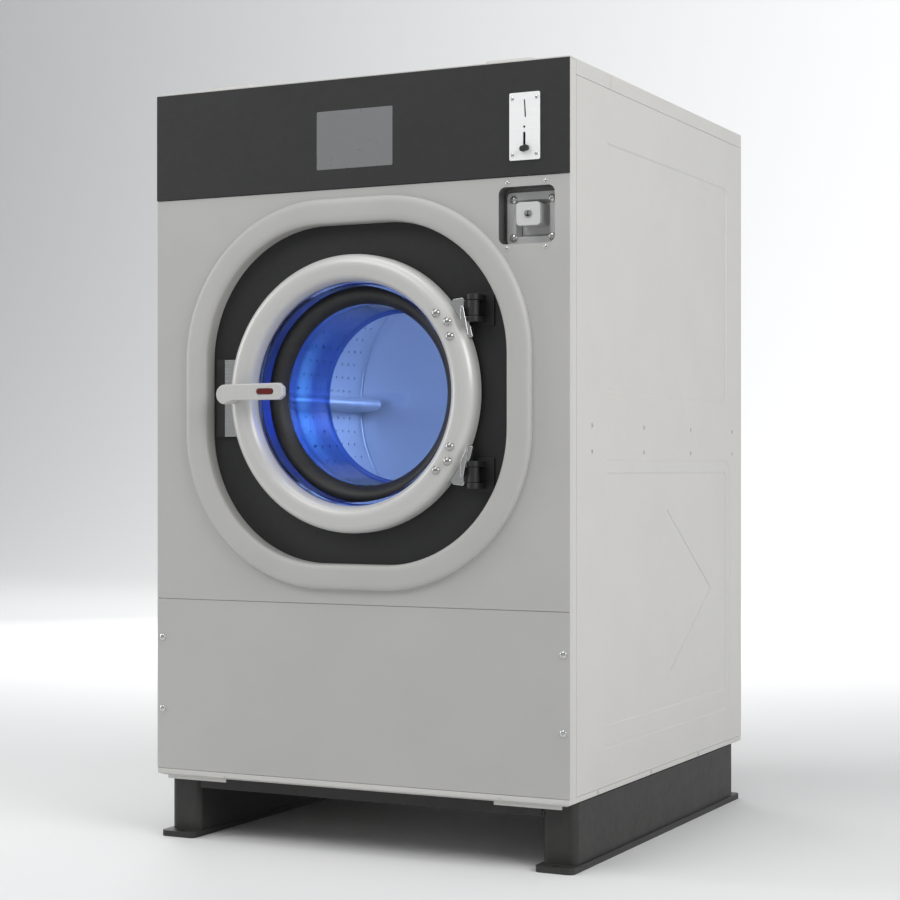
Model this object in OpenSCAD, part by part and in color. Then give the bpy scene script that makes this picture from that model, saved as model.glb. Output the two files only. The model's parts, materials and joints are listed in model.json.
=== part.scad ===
// Washer-extractor, rigid mount, coin operated, on a bolt-down skid.
// +X is to the right of someone facing the door, +Y is to the back, +Z is up.
// The origin is the centre of the four floor bolts, on the floor.

/* [Cabinet] */
// Width over the side panels
cab_w = 920; // [880:10:1000]
// Depth over the front and rear panels
cab_d = 1010; // [980:10:1080]
// Height of the top face above the floor
cab_h = 1525; // [1500:5:1620]
// Height of the control fascia
fascia_h = 215; // [205:5:230]
// Top edge of the lower front panel above the floor
seam_z = 491; // [480:1:500]
// Thickness of the cabinet sheet
sheet = 2; // [1.5:0.5:2.5]
// Depth of the corner post's side face
post_d = 32; // [26:2:40]
// Width of the corner post's front face
post_w = 22; // [18:1:24]
// Depth of the skirt round the top panel
skirt = 30; // [20:2:40]
// Gap between neighbouring panels
seam = 1; // [0.5:0.5:1.5]

/* [Skid] */
// Height of the cabinet floor above the ground
base_h = 128; // [120:2:140]
// Height of the floor pan's edge
sill_h = 14.4; // [12:0.4:18]
// Width of a rail
rail_w = 71; // [60:1:80]
// Set-back of a rail from the cabinet's side
rail_inset = 5; // [3:1:10]
// Set-back of the rails from the cabinet's front and back
rail_back = 40; // [35:1:60]
// Thickness of a foot plate
foot_t = 12; // [10:1:16]
// Width of a foot plate
foot_w = 80; // [78:1:90]
// Length of a foot plate beyond the rail's end
foot_over = 31; // [28:1:40]
// Diameter of the floor bolt holes
bolt_d = 18; // [14:1:20]
// Height of the cross members
cross_h = 28; // [20:1:40]

/* [Door] */
// Height of the door's axis above the floor
door_z = 904; // [895:1:912]
// Outer radius of the door ring
ring_ro = 273; // [270:1:280]
// Inner radius of the door ring
ring_ri = 220; // [216:1:224]
// How far the ring bulges in front of the cabinet
ring_bulge = 28; // [25:1:40]
// Inner radius of the glass bowl
bowl_r = 178; // [165:1:182]
// Depth of the bowl behind its shoulder
bowl_depth = 148; // [120:1:150]
// Thickness of the glass
glass_t = 6; // [5:0.5:8]
// Sideways place of the hinge axis
hinge_x = 268; // [266:1:272]
// Height of each hinge above and below the door's axis
hinge_dz = 158; // [150:1:165]
// Radius of the hinge pins
hinge_pin_r = 6; // [5:0.5:7]
// Sideways place of the handle's shaft, left of the axis
handle_x = 258; // [250:1:262]
// Length of the handle from its shaft to its end
handle_len = 135; // [110:5:150]
// Radius of the handle's shaft
handle_shaft_r = 9; // [7:0.5:10]

/* [Surround] */
// Half width of the embossed surround
bead_out = 384; // [378:1:390]
// Half width of the opening in the surround
bead_in = 334; // [330:1:338]
// Half length of the surround's straight sides
bead_flat = 70; // [60:1:80]
// Height of the bead in front of the panel
bead_h = 14; // [8:1:18]
// Depth of the dark panel behind the cabinet front
recess = 20; // [16:1:22]

/* [Drum] */
// Outer radius of the tub
tub_r = 398; // [392:1:402]
// How much larger the tub's radius is than the drum's
tub_gap = 38; // [36:1:44]
// Radius of the drum's mouth
mouth_r = 234; // [232:1:238]
// Place of the drum's front face behind the cabinet front
drum_front = 85; // [80:1:90]
// Length of the drum
drum_len = 600; // [560:5:605]
// Height of the lifters
lifter_h = 70; // [50:1:80]
// Number of lifters
lifters = 3; // [3:1:4]
// Radius of the drum's shaft
shaft_r = 35; // [30:1:40]
// Pitch radius of the drum pulley
pulley_r = 240; // [220:5:250]
// Pitch radius of the motor pulley
motor_pulley_r = 40; // [36:1:50]
// Height of the motor's shaft above the floor
motor_z = 300; // [290:1:310]
// Radius of the motor's body
motor_r = 92; // [80:1:100]

/* [Controls] */
// Width of the screen
screen_w = 170; // [160:1:180]
// Height of the screen
screen_h = 115.5; // [100:0.5:120]
// Width of the coin plate
coin_w = 62.5; // [60:0.5:66]
// Height of the coin plate
coin_h = 127; // [122:1:130]
// Sideways place of the coin plate
coin_x = 370; // [364:1:374]
// Travel of the coin return lever
lever_travel = 26; // [20:1:28]
// Width of the vault pocket
vault_w = 116; // [110:1:118]
// Height of the vault pocket
vault_h = 108; // [104:1:112]
// Sideways place of the vault pocket
vault_x = 372; // [368:1:374]
// Drop of the vault pocket's centre below the fascia
vault_drop = 73; // [70:1:77]
// Depth of the vault pocket
vault_d = 31; // [26:1:34]
// Side of the coin drawer's square face
plug_w = 49; // [44:1:52]

/* [Top hatches] */
// Width of a detergent lid
hatch_w = 106; // [100:1:112]
// Length of a detergent lid
hatch_l = 120; // [110:1:130]
// Height of a detergent lid
hatch_h = 15; // [12:1:18]
// Sideways place of the lids from the middle
hatch_x = 312; // [306:1:316]
// Set-back of the lids from the front
hatch_back = 46; // [44:1:60]

/* [Services] */
// Radius of the drain outlet
drain_r = 38; // [32:1:40]
// Length of the drain outlet behind the rear panel
drain_out = 60; // [40:5:80]
// Radius of the water inlets
inlet_r = 13.2; // [10:0.1:14]
// Length of the water inlets behind the rear panel
inlet_out = 18; // [14:1:24]

/* [Hidden] */
$fn = 64;

// Running clearances
slack = 0.3;
fit_gap = 0.05;

// Places that several pieces share
front_y = -cab_d / 2;
rear_y = cab_d / 2;
side_x = cab_w / 2;
sill_z = base_h + sill_h;
pan_t = 4;
pan_z = base_h + pan_t;
top_in = cab_h - 3;
fascia_z = top_in - fascia_h;
rail_x = side_x - rail_inset - rail_w / 2;
rail_len = cab_d - 2 * rail_back - 8;
foot_len = rail_len + 2 * foot_over;
bolt_dx = 2 * rail_x;
bolt_dy = foot_len - foot_over;
rail_in_x = rail_x - rail_w / 2;
recess_y = front_y + recess;
plate_y = front_y + vault_d;
vault_z = fascia_z - vault_drop;
plate_z = vault_z - 3;
plug_z = vault_z + 3;
hinge_y = front_y - 13;
drum_r = tub_r - tub_gap;
drum_y0 = front_y + drum_front;
drum_y1 = drum_y0 + drum_len;
tub_y0 = drum_y0 - 20;
tub_y1 = drum_y1 + 30;
frame_y1 = tub_y1 + 12;
house_y1 = frame_y1 + 150;
pulley_y0 = house_y1 + 14;
pulley_t = 44;
gasket_r0 = ring_ri + 11;
gasket_r1 = gasket_r0 + 16;
neck_r0 = gasket_r0 + 3;
neck_r1 = neck_r0 + 4;
neck_y0 = recess_y + 7;
hatch_y0 = front_y + hatch_back;
hatch_y1 = hatch_y0 + hatch_l;
inlet_z = cab_h - 105;
inlet_xs = [-250, -170, -90];
drain_x = -220;
drain_y = -150;
drain_z = 232;
gland_x = side_x - 210;
gland_z = cab_h - 195;

// Helpers: the two-dimensional shape of slab_y is in X and Z, that of slab_x in Y and Z
module slab_y(y0, y1) { translate([0, y1, 0]) rotate([90, 0, 0]) linear_extrude(y1 - y0) children(); }
module slab_x(x0, x1) { translate([x0, 0, 0]) rotate([90, 0, 90]) linear_extrude(x1 - x0) children(); }
module slab_z(z0, z1) { translate([0, 0, z0]) linear_extrude(z1 - z0) children(); }
module both() {
  children();
  mirror([1, 0, 0]) children();
}
module rrect(w, h, r) {
  if (w > 2 * r) square([w - 2 * r, h], center = true);
  if (h > 2 * r) square([w, h - 2 * r], center = true);
  for (sx = [-1, 1], sy = [-1, 1])
    translate([sx * (w / 2 - r), sy * (h / 2 - r)]) circle(r);
}
// Box from its low and high corners
module span(a, b) { translate(a) cube(b - a); }
// A profile of [radius, y] points turned about the drum's axis
module turned(pts, fn = 128) {
  translate([0, 0, door_z]) rotate([-90, 0, 0]) rotate_extrude($fn = fn) polygon(pts);
}
// A cylinder along Y and one along X
module ycyl(x, z, r, y0, y1) { translate([x, y1, z]) rotate([90, 0, 0]) cylinder(r = r, h = y1 - y0); }
module xcyl(y, z, r, x0, x1) { translate([x0, y, z]) rotate([0, 90, 0]) cylinder(r = r, h = x1 - x0); }
module zcyl(x, y, r, z0, z1) { translate([x, y, z0]) cylinder(r = r, h = z1 - z0); }
// A low dome-headed screw that faces the front, seated at y
module dome_y(x, z, r, y, h) {
  translate([x, y, z]) rotate([90, 0, 0]) rotate_extrude($fn = 32)
    polygon(concat([[0, 0], [r, 0]], [for (a = [0:15:90]) [r * cos(a), h * 0.3 + h * 0.7 * sin(a)]]));
}

// Skid and frame
module base_rails() {
  color("#303030") both() {
    difference() {
      union() {
        translate([rail_x + 1.5, 0, 0]) slab_z(0, foot_t) rrect(foot_w, foot_len, 12);
        translate([rail_x, 0, 0]) slab_z(0, base_h) rrect(rail_w, rail_len, 14);
      }
      translate([rail_x, 0, 0]) slab_z(foot_t, base_h + 1) rrect(rail_w - 12, rail_len - 12, 9);
      for (s = [-1, 1]) zcyl(rail_x, s * bolt_dy / 2, bolt_d / 2, -1, foot_t + 1);
    }
  }
}

module base_crossmembers() {
  // Channels that open downwards, between the rails
  color("#303030")
    for (y = [-rail_len / 2, -30, rail_len / 2 - 60]) difference() {
      span([-rail_in_x, y, base_h - cross_h], [rail_in_x, y + 60, base_h]);
      span([-rail_in_x - 1, y + 5, base_h - cross_h - 1], [rail_in_x + 1, y + 55, base_h - 5]);
    }
}

module floor_pan() {
  lip = 6.5;
  color("#b9b8b4") {
    difference() {
      union() {
        hull() {
          slab_z(base_h, base_h + 0.5) square([cab_w - 18, cab_d - 18], center = true);
          slab_z(pan_z, pan_z + 0.5) square([cab_w - 1, cab_d - 1], center = true);
        }
        slab_z(pan_z, sill_z) square([cab_w - 1, cab_d - 1], center = true);
      }
      slab_z(pan_z, sill_z + 1) square([cab_w - 2 * lip, cab_d - 2 * lip], center = true);
    }
    // Tabs that hide the front ends of the rails
    both() span([side_x - 160, front_y + 9, base_h - 7], [side_x - 20, front_y + 12, base_h]);
  }
}

module corner_posts() {
  t = 3;
  color("#c9c8c5") both() {
    span([side_x - t, front_y + sheet, sill_z], [side_x, front_y + post_d, top_in]);
    span([side_x - post_w, front_y + sheet, sill_z], [side_x, front_y + sheet + t, top_in]);
    translate([-sheet, 0, 0]) {
      span([side_x - t, rear_y - post_d, sill_z], [side_x, rear_y - sheet, top_in]);
      span([side_x - post_w, rear_y - sheet - t, sill_z], [side_x, rear_y - sheet, top_in]);
    }
  }
}

mid_rail_z = [780, 855];
cross_rail_z = [1200, 1240];
module frame_rails() {
  color("#8f8f8c") {
    both() {
      span([side_x - 22, front_y + post_d, mid_rail_z[0]], [side_x - sheet, rear_y - post_d, mid_rail_z[1]]);
    }
    span([-side_x + sheet + 3, rear_y - 25, cross_rail_z[0]], [side_x - sheet - 3, rear_y - 5, cross_rail_z[1]]);
    span([-side_x + post_w, front_y + sheet, seam_z - 20], [side_x - post_w, front_y + sheet + 12, seam_z + 12]);
  }
}

// Cabinet panels
press = 3;
field_y = [front_y + 177, rear_y - 103];
field_mid = (field_y[0] + field_y[1]) / 2;
field_w = field_y[1] - field_y[0];
low_field = [258, 750];
high_field = [905, 1390];
module field_outline(z0, z1, grow = 0) {
  translate([field_mid, (z0 + z1) / 2]) rrect(field_w + 2 * grow, z1 - z0 + 2 * grow, 16 + grow);
}
module side_panel() {
  y0 = front_y + post_d + seam;
  y1 = rear_y - sheet;
  difference() {
    union() {
      slab_x(side_x - sheet, side_x)
        translate([y0, sill_z + 0.5]) square([y1 - y0, cab_h - skirt - sill_z - 1]);
      // The shallow outer step and the two pressed fields, seen from inside
      slab_x(side_x - sheet - 1, side_x - sheet) field_outline(low_field[0] - 18, low_field[1], 28);
      for (f = [low_field, high_field])
        slab_x(side_x - sheet - press, side_x - sheet) field_outline(f[0], f[1], sheet);
    }
    slab_x(side_x - 1, side_x + 1) field_outline(low_field[0] - 18, low_field[1], 26);
    for (f = [low_field, high_field])
      slab_x(side_x - press, side_x + 1) field_outline(f[0], f[1]);
  }
  // The stiffening crease in the lower field
  slab_x(side_x - press - 0.5, side_x - press + 1)
    polygon([[20, 671], [27, 671], [305, 497], [305, 491], [50, 334], [43, 334], [297, 494]]);
}
module side_panel_right() { color("#cbcac6") side_panel(); }
module side_panel_left() { color("#cbcac6") mirror([1, 0, 0]) side_panel(); }

module squircle(half) { rrect(2 * half, 2 * half, half - bead_flat); }
// Height of a dome over its width, zero at both ends
function dome(t, n) = pow(max(0, 1 - pow(abs(2 * t - 1), n)), 1 / n);
function bead_profile() =
  let (ro = bead_out - bead_flat, ri = bead_in - bead_flat, n = 14)
  concat(
    [for (i = [0:n]) let (t = i / n) [ro - (ro - ri) * t, front_y - bead_h * dome(t, 3.6)]],
    [[ri, recess_y], [ri + sheet, recess_y]],
    [for (i = [n:-1:0]) let (t = i / n)
      [ro - sheet - (ro - ri - 2 * sheet) * t, front_y + sheet - bead_h * dome(t, 3.6)]],
    [[ro, front_y + sheet]]);
module surround_bead() {
  for (a = [0:90:270]) translate([0, 0, door_z]) rotate([0, a, 0]) {
    translate([bead_flat, 0, -bead_flat]) linear_extrude(2 * bead_flat) polygon(bead_profile());
    translate([bead_flat, 0, bead_flat]) rotate([-90, 0, 0]) rotate([0, 0, -90])
      rotate_extrude(angle = 90, $fn = 96) polygon(bead_profile());
  }
}
module upper_front_panel() {
  color("#bdbcb8") {
    slab_y(front_y, front_y + sheet) difference() {
      translate([-side_x, seam_z + seam / 2]) square([cab_w, fascia_z - seam_z - seam]);
      translate([0, door_z]) squircle(bead_out);
      translate([vault_x, vault_z]) rrect(vault_w, vault_h, 14);
    }
    surround_bead();
  }
}

module lower_front_panel() {
  z0 = sill_z + 0.5;
  z1 = seam_z - seam / 2;
  color("#b3b2ae") {
    span([-side_x, front_y, z0], [side_x, front_y + sheet, z1]);
    span([-side_x + post_w + 2, front_y + sheet, z0], [side_x - post_w - 2, front_y + 14, z0 + 2]);
  }
}

module recess_panel() {
  color("#383838") slab_y(recess_y, recess_y + 2) difference() {
    translate([0, door_z]) squircle(bead_in + 10);
    translate([0, door_z]) circle(gasket_r1 + 3, $fn = 128);
  }
}

// Control fascia, screen and coin unit
screen_x = 4;
screen_z = cab_h - 121.5;
coin_z = cab_h - 125.5;
slot_z = coin_z - 47.5;
stem_h = 7;
fascia_y = front_y - 2;
module control_fascia() {
  color("#343434") slab_y(fascia_y, front_y + sheet) difference() {
    translate([-side_x, fascia_z + seam / 2]) square([cab_w, fascia_h - seam / 2]);
    translate([screen_x, screen_z]) rrect(screen_w, screen_h, 3);
    translate([coin_x, coin_z]) square([46 + 2 * slack, 112 + 2 * slack], center = true);
  }
}

module touch_screen() {
  color("#85868a") {
    slab_y(fascia_y, front_y + sheet) translate([screen_x, screen_z])
      rrect(screen_w - 2 * slack, screen_h - 2 * slack, 2.7);
    slab_y(front_y + sheet, front_y + 26) translate([screen_x, screen_z])
      rrect(screen_w + 14, screen_h + 14, 4);
  }
}

module coin_plate() {
  color("#f0f0ee") slab_y(fascia_y - 3, fascia_y) difference() {
    translate([coin_x, coin_z]) rrect(coin_w, coin_h, 3);
    translate([coin_x + 0.9, coin_z + 33.5]) rotate(3.6) rrect(2.6, 34, 1.3);
    translate([coin_x - 0.5, coin_z - 1]) circle(2.5);
    translate([coin_x - 0.5, slot_z + (lever_travel + 11) / 2]) rrect(4.4, lever_travel + 11, 2);
  }
}

module coin_mech() {
  color("#4a4a4c") difference() {
    union() {
      span([coin_x - 23, fascia_y, coin_z - 56], [coin_x + 23, front_y + 50, coin_z + 56]);
      span([coin_x - 23, fascia_y, coin_z - 56], [coin_x + 23, front_y + 70, coin_z + 2]);
    }
    // Room for the lever's foot, and the coin's way in
    span([coin_x - 6.5, fascia_y - 1, slot_z - 3], [coin_x + 5.5, front_y + 14, slot_z + lever_travel + 13]);
    span([coin_x - 1, fascia_y - 1, coin_z + 15], [coin_x + 3, front_y + 34, coin_z + 52]);
  }
}

module coin_lever() {
  x = coin_x - 0.5;
  z = slot_z + 2;
  color("#161616") {
    span([x - 1.8, fascia_y - 8, z], [x + 1.8, front_y, z + stem_h]);
    span([x - 4.5, fascia_y + slack, z - 1], [x + 4.5, front_y + 2, z + stem_h + 2]);
    slab_y(fascia_y - 13, fascia_y - 5) translate([x + 3, z + 2]) rotate(-12) rrect(18, 11, 5);
  }
}

// Coin vault
tunnel_l = 18;
well_w = 70;
box_w = 59.4;
sleeve_y1 = plate_y + tunnel_l + 170;
module vault_pocket() {
  color("#77767a") translate([vault_x, 0, vault_z]) {
    slab_y(front_y + sheet, front_y + sheet + 2) difference() {
      rrect(vault_w + 8, vault_h + 38, 8);
      rrect(vault_w, vault_h, 14);
    }
    slab_y(front_y + sheet, plate_y + 5) difference() {
      rrect(vault_w + 4, vault_h + 4, 16);
      rrect(vault_w, vault_h, 14);
    }
    slab_y(plate_y + 3, plate_y + 5) difference() {
      rrect(vault_w + 4, vault_h + 4, 16);
      translate([0, plate_z - vault_z]) square(well_w + 6, center = true);
    }
  }
}

module taper(w0, w1, y0, y1) {
  hull() {
    slab_y(y0, y0 + 0.01) translate([vault_x, plate_z]) square(w0, center = true);
    slab_y(y1 - 0.01, y1) translate([vault_x, plate_z]) square(w1, center = true);
  }
}
module vault_plate() {
  color("#a9a8a4") difference() {
    union() {
      slab_y(plate_y, plate_y + 3) translate([vault_x, plate_z]) rrect(vault_w - 8, vault_h - 8, 9);
      taper(well_w + 4, 66, plate_y, plate_y + tunnel_l);
    }
    taper(well_w + 0.4, 62, plate_y - 1, plate_y + tunnel_l + 1);
  }
}

module vault_sleeve() {
  y0 = plate_y + tunnel_l;
  w = box_w / 2 + slack;
  color("#6d6d70") difference() {
    span([vault_x - w - 3, y0, plate_z - w - 3], [vault_x + w + 3, sleeve_y1, plate_z + w + 3]);
    span([vault_x - w, y0 - 1, plate_z - w], [vault_x + w, sleeve_y1 - 3, plate_z + w]);
    span([vault_x - 11, y0 + 5, plate_z], [vault_x + 11, y0 + 17, plate_z + w + 4]);
  }
}

lock_r = 8;
module coin_drawer() {
  y0 = plate_y + tunnel_l + 1;
  y1 = sleeve_y1 - 5;
  w = box_w / 2;
  color("#b4b3af") difference() {
    union() {
      slab_y(front_y + 8, y0) translate([vault_x, plug_z]) rrect(plug_w, plug_w - 5, 7);
      span([vault_x - w, y0, plate_z - w], [vault_x + w, y1, plate_z + w]);
    }
    span([vault_x - w + 2, y0 + 3, plate_z - w + 2], [vault_x + w - 2, y1 - 2, plate_z + w + 1]);
    ycyl(vault_x, plug_z, lock_r + fit_gap, front_y + 7, front_y + 36);
  }
}

module vault_lock() {
  color("#8c8c8c") difference() {
    ycyl(vault_x, plug_z, lock_r, front_y + 6.5, front_y + 35.7);
    span([vault_x - 1.2, front_y + 6, plug_z - 4.5], [vault_x + 1.2, front_y + 16, plug_z + 4.5]);
  }
}

module coin_chute() {
  y0 = plate_y + tunnel_l + 3;
  z0 = plate_z + box_w / 2 + slack + 3;
  color("#4a4a4c") difference() {
    span([vault_x - 13, y0, z0], [vault_x + 13, y0 + 16, coin_z - 56]);
    span([vault_x - 11, y0 + 2, z0 - 1], [vault_x + 11, y0 + 14, coin_z - 55]);
  }
}

// Top panel and detergent hatches
hatch_cy = (hatch_y0 + hatch_y1) / 2;
cup_w = hatch_w - 22;
cup_l = hatch_l - 24;
cup_depth = 110;
pivot_y = hatch_y1 + 6;
pivot_z = cab_h + 7;
hatch_pin_r = 2.5;
module top_panel() {
  // A front cover with both openings, and a rear cover
  joint_y = hatch_cy + hatch_l / 2 + 40;
  color("#cfcecb") {
    difference() {
      span([-side_x, front_y, top_in], [side_x, joint_y - seam / 2, cab_h]);
      both() translate([hatch_x, hatch_cy, 0]) slab_z(top_in - 1, cab_h + 1) square([cup_w + 0.6, cup_l + 0.6], center = true);
    }
    span([-side_x, joint_y + seam / 2, top_in], [side_x, rear_y, cab_h]);
    both() span([side_x - sheet, front_y + post_d + seam, cab_h - skirt], [side_x, joint_y - seam / 2, cab_h - 1]);
    both() span([side_x - sheet, joint_y + seam / 2, cab_h - skirt], [side_x, rear_y, cab_h - 1]);
    span([-side_x + sheet, rear_y - sheet, cab_h - skirt], [side_x - sheet, rear_y, cab_h - 1]);
  }
}
module hatch_brackets() {
  color("#8c8c8a") both() translate([hatch_x, 0, 0]) {
    span([-30, pivot_y - 5, cab_h], [30, pivot_y + 9, cab_h + 2]);
    for (x = [-27, 22.5]) {
      xcyl(pivot_y, pivot_z, 5, x, x + 4.5);
      span([x, pivot_y - 5, cab_h + 1], [x + 4.5, pivot_y + 5, pivot_z]);
    }
    xcyl(pivot_y, pivot_z, hatch_pin_r, -27, 27);
  }
}

module hatch_lid() {
  z0 = cab_h + slack;
  z1 = cab_h + hatch_h;
  difference() {
    union() {
      translate([0, hatch_cy, 0]) hull() {
        slab_z(z0, z0 + 4) rrect(hatch_w, hatch_l, 8, $fn = 32);
        slab_z(z1 - 1, z1) rrect(hatch_w - 9, hatch_l - 9, 6, $fn = 32);
      }
      span([-21.5, hatch_y1 - 4, pivot_z - 3], [21.5, pivot_y - 1, pivot_z + 3]);
      xcyl(pivot_y, pivot_z, 5, -21.5, 21.5);
    }
    translate([0, hatch_cy, 0]) slab_z(z0 - 1, z1 - 3) rrect(hatch_w - 10, hatch_l - 10, 5);
    xcyl(pivot_y, pivot_z, hatch_pin_r + fit_gap, -23, 23);
  }
}
module hatch_lid_right() { color("#d6d5d2") translate([hatch_x, 0, 0]) hatch_lid(); }
module hatch_lid_left() { color("#d6d5d2") translate([-hatch_x, 0, 0]) hatch_lid(); }

spout_z = top_in - cup_depth - 22;
module soap_hoppers() {
  color("#dcdcd8") both() translate([hatch_x, hatch_cy, 0]) difference() {
    union() {
      slab_z(top_in - 2, top_in) rrect(cup_w + 10, cup_l + 10, 8);
      slab_z(top_in - cup_depth, cab_h + 6) rrect(cup_w, cup_l, 7);
      translate([0, 0, spout_z]) cylinder(r = 14, h = 24);
    }
    slab_z(top_in - cup_depth + 3, cab_h + 7) rrect(cup_w - 4, cup_l - 4, 5);
    translate([0, 0, spout_z - 1]) cylinder(r = 10, h = 30);
  }
}

fill_top = 1185;
manifold_z = inlet_z + 34;
manifold_y = rear_y - 50;
module fill_pipes() {
  // From the hoppers down to the tub, and from the valves to the hoppers
  x = hatch_x - 27;
  color("#3c3c3e") {
    both() difference() {
      zcyl(hatch_x, hatch_cy, 14, fill_top, spout_z);
      zcyl(hatch_x, hatch_cy, 10, fill_top - 1, spout_z + 1);
    }
    xcyl(manifold_y, manifold_z, 11, -x - 11, inlet_xs[2] + 14);
    ycyl(-x, manifold_z, 10, hatch_cy + cup_l / 2, manifold_y);
    for (v = inlet_xs) zcyl(v, manifold_y, 8, inlet_z + 20, manifold_z);
    xcyl(hatch_cy, manifold_z, 10, -hatch_x + cup_w / 2, hatch_x - cup_w / 2);
  }
}

// Rear panels
split_z = 800;
module rear_upper_panel() {
  color("#c4c3c0") slab_y(rear_y - sheet, rear_y) difference() {
    translate([-side_x, split_z + seam / 2]) square([cab_w, cab_h - skirt - split_z - seam]);
    for (v = inlet_xs) translate([v, inlet_z]) circle(inlet_r + 1);
    for (i = [0:5], s = [-1, 1]) translate([s * 120, split_z + 160 + 26 * i]) rrect(150, 7, 3.5);
    translate([gland_x, gland_z]) circle(12.5);
  }
}
module rear_lower_panel() {
  color("#c4c3c0") slab_y(rear_y - sheet, rear_y) difference() {
    translate([-side_x, sill_z + 0.5]) square([cab_w, split_z - sill_z - 0.5 - seam / 2]);
    translate([drain_x, drain_z]) circle(drain_r + 2);
    for (i = [0:7], s = [-1, 1]) translate([s * 120 + 40, split_z - 420 + 26 * i]) rrect(150, 7, 3.5);
  }
}

// Tub, gasket and bearings
nozzle_r = 18;
sump_r = drain_r + 4;
// The height of the tub's wall beside its middle
function tub_wall(x, r = tub_r) = sqrt(pow(r, 2) - pow(x, 2));
module outer_tub() {
  t = 3;
  color("#b9bcbe") {
    turned([[neck_r0, neck_y0], [neck_r1, neck_y0], [neck_r1, tub_y0], [tub_r, tub_y0],
      [tub_r, tub_y1], [60.2, tub_y1], [60.2, tub_y1 - 4], [tub_r - t, tub_y1 - 4],
      [tub_r - t, tub_y0 + 4], [neck_r0, tub_y0 + 4]]);
    difference() {
      both() zcyl(hatch_x, hatch_cy, nozzle_r, door_z + tub_wall(hatch_x + nozzle_r) - 6, fill_top);
      ycyl(0, door_z, tub_r - t, tub_y0, tub_y1, $fn = 128);
      both() zcyl(hatch_x, hatch_cy, 10, door_z, fill_top + 1);
    }
    difference() {
      zcyl(drain_x, drain_y, sump_r, door_z - tub_wall(drain_x + sump_r) - 60, door_z - tub_wall(drain_x - sump_r) + 6);
      ycyl(0, door_z, tub_r - t, tub_y0, tub_y1, $fn = 128);
      zcyl(drain_x, drain_y, drain_r, 400, door_z);
    }
  }
}

module tub_gasket() {
  y0 = ring_y1 + 3 + slack;
  color("#1c1c1c") turned([[gasket_r0 + 2, y0], [gasket_r1 - 2, y0], [gasket_r1, y0 + 3],
    [gasket_r1, neck_y0 + 22], [neck_r1, neck_y0 + 22], [neck_r1, neck_y0], [gasket_r0, neck_y0],
    [gasket_r0, y0 + 2]]);
}

module tub_cradles() {
  color("#4c4e50") for (y = [tub_y0 + 140, tub_y0 + 500]) slab_y(y, y + 10) difference() {
    polygon([[68 - tub_r, pan_z], [tub_r - 68, pan_z], [tub_r - 88, door_z - 264], [88 - tub_r, door_z - 264]]);
    translate([0, door_z]) circle(tub_r, $fn = 128);
    translate([drain_x, drain_z]) circle(drain_r + 4);
    translate([0, 300]) rrect(230, 200, 40);
  }
}

module bearing_frame() {
  top_w = 190;
  color("#4c4e50") slab_y(tub_y1, frame_y1) difference() {
    polygon([[-400, pan_z], [400, pan_z], [400, pan_z + 80], [top_w, door_z + top_w],
      [-top_w, door_z + top_w], [-400, pan_z + 80]]);
    translate([0, door_z]) circle(130, $fn = 96);
    translate([0, pan_z + 148]) rrect(260, 400, 40);
    translate([drain_x, drain_z]) circle(drain_r + 4);
    for (s = [-1, 1]) translate([s * 210, 560]) circle(50);
  }
}

module bearing_housing() {
  color("#5a5c60") difference() {
    union() {
      turned([[0, tub_y1], [129.8, tub_y1], [129.8, frame_y1], [180, frame_y1], [180, frame_y1 + 18],
        [105, frame_y1 + 30], [88, house_y1 - 40], [88, house_y1], [0, house_y1]]);
      // Webs between the flange and the hub
      for (a = [0:60:300]) translate([0, 0, door_z]) rotate([0, a, 0])
        slab_x(-6, 6) polygon([[frame_y1 + 17, 80], [frame_y1 + 17, 172], [house_y1 - 30, 92], [house_y1 - 30, 80]]);
    }
    ycyl(0, door_z, 60, tub_y1 - 1, house_y1 + 1);
  }
}

module bearings() {
  color("#d0d0d0") for (y = [frame_y1 + 6, house_y1 - 36])
    turned([[shaft_r + fit_gap, y], [60, y], [60, y + 30], [shaft_r + fit_gap, y + 30]]);
}

module shaft_seal() {
  color("#1c1c1c") turned([[shaft_r + fit_gap, tub_y1 - 3], [60, tub_y1 - 3], [60, tub_y1 + 11],
    [shaft_r + fit_gap, tub_y1 + 11]]);
}

// Drum
drum_t = 3;
module drum_shell() {
  color("#b6babd") difference() {
    turned([[mouth_r, drum_y0], [drum_r, drum_y0], [drum_r, drum_y1], [0, drum_y1],
      [0, drum_y1 - drum_t], [drum_r - drum_t, drum_y1 - drum_t], [drum_r - drum_t, drum_y0 + drum_t],
      [mouth_r + 4, drum_y0 + drum_t], [mouth_r + 4, drum_y0 + 16], [mouth_r, drum_y0 + 16]]);
    // Drain holes through the wall, in rings that miss the lifters
    for (ring = [1:3], i = [0:17]) translate([0, drum_y0 + drum_len * ring / 4, door_z]) rotate([0, i * 20, 0])
      translate([0, 0, drum_r - drum_t - 1]) cylinder(r = 5, h = drum_t + 2, $fn = 16);
  }
}

module drum_lifters() {
  r = drum_r - drum_t;
  color("#a9adb0") for (i = [0:lifters - 1]) translate([0, 0, door_z]) rotate([0, -90 + 360 * i / lifters, 0])
    intersection() {
      slab_y(drum_y0 + 30, drum_y1 - 22) {
        polygon([[-19, r], [-14, r - lifter_h + 14], [14, r - lifter_h + 14], [19, r]]);
        translate([0, r - lifter_h + 14]) circle(14);
      }
      ycyl(0, 0, r, drum_y0, drum_y1, $fn = 128);
    }
}

module drum_spider() {
  y1 = drum_y1 + 16;
  color("#7b7e82") {
    ycyl(0, door_z, shaft_r, drum_y1, pulley_y0 + pulley_t + 12);
    ycyl(0, door_z, 85, drum_y1, y1);
    for (a = [0:120:240]) translate([0, 0, door_z]) rotate([0, a, 0])
      slab_y(drum_y1, y1) polygon([[-34, 60], [34, 60], [22, drum_r - 12], [-22, drum_r - 12]]);
  }
}

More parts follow.
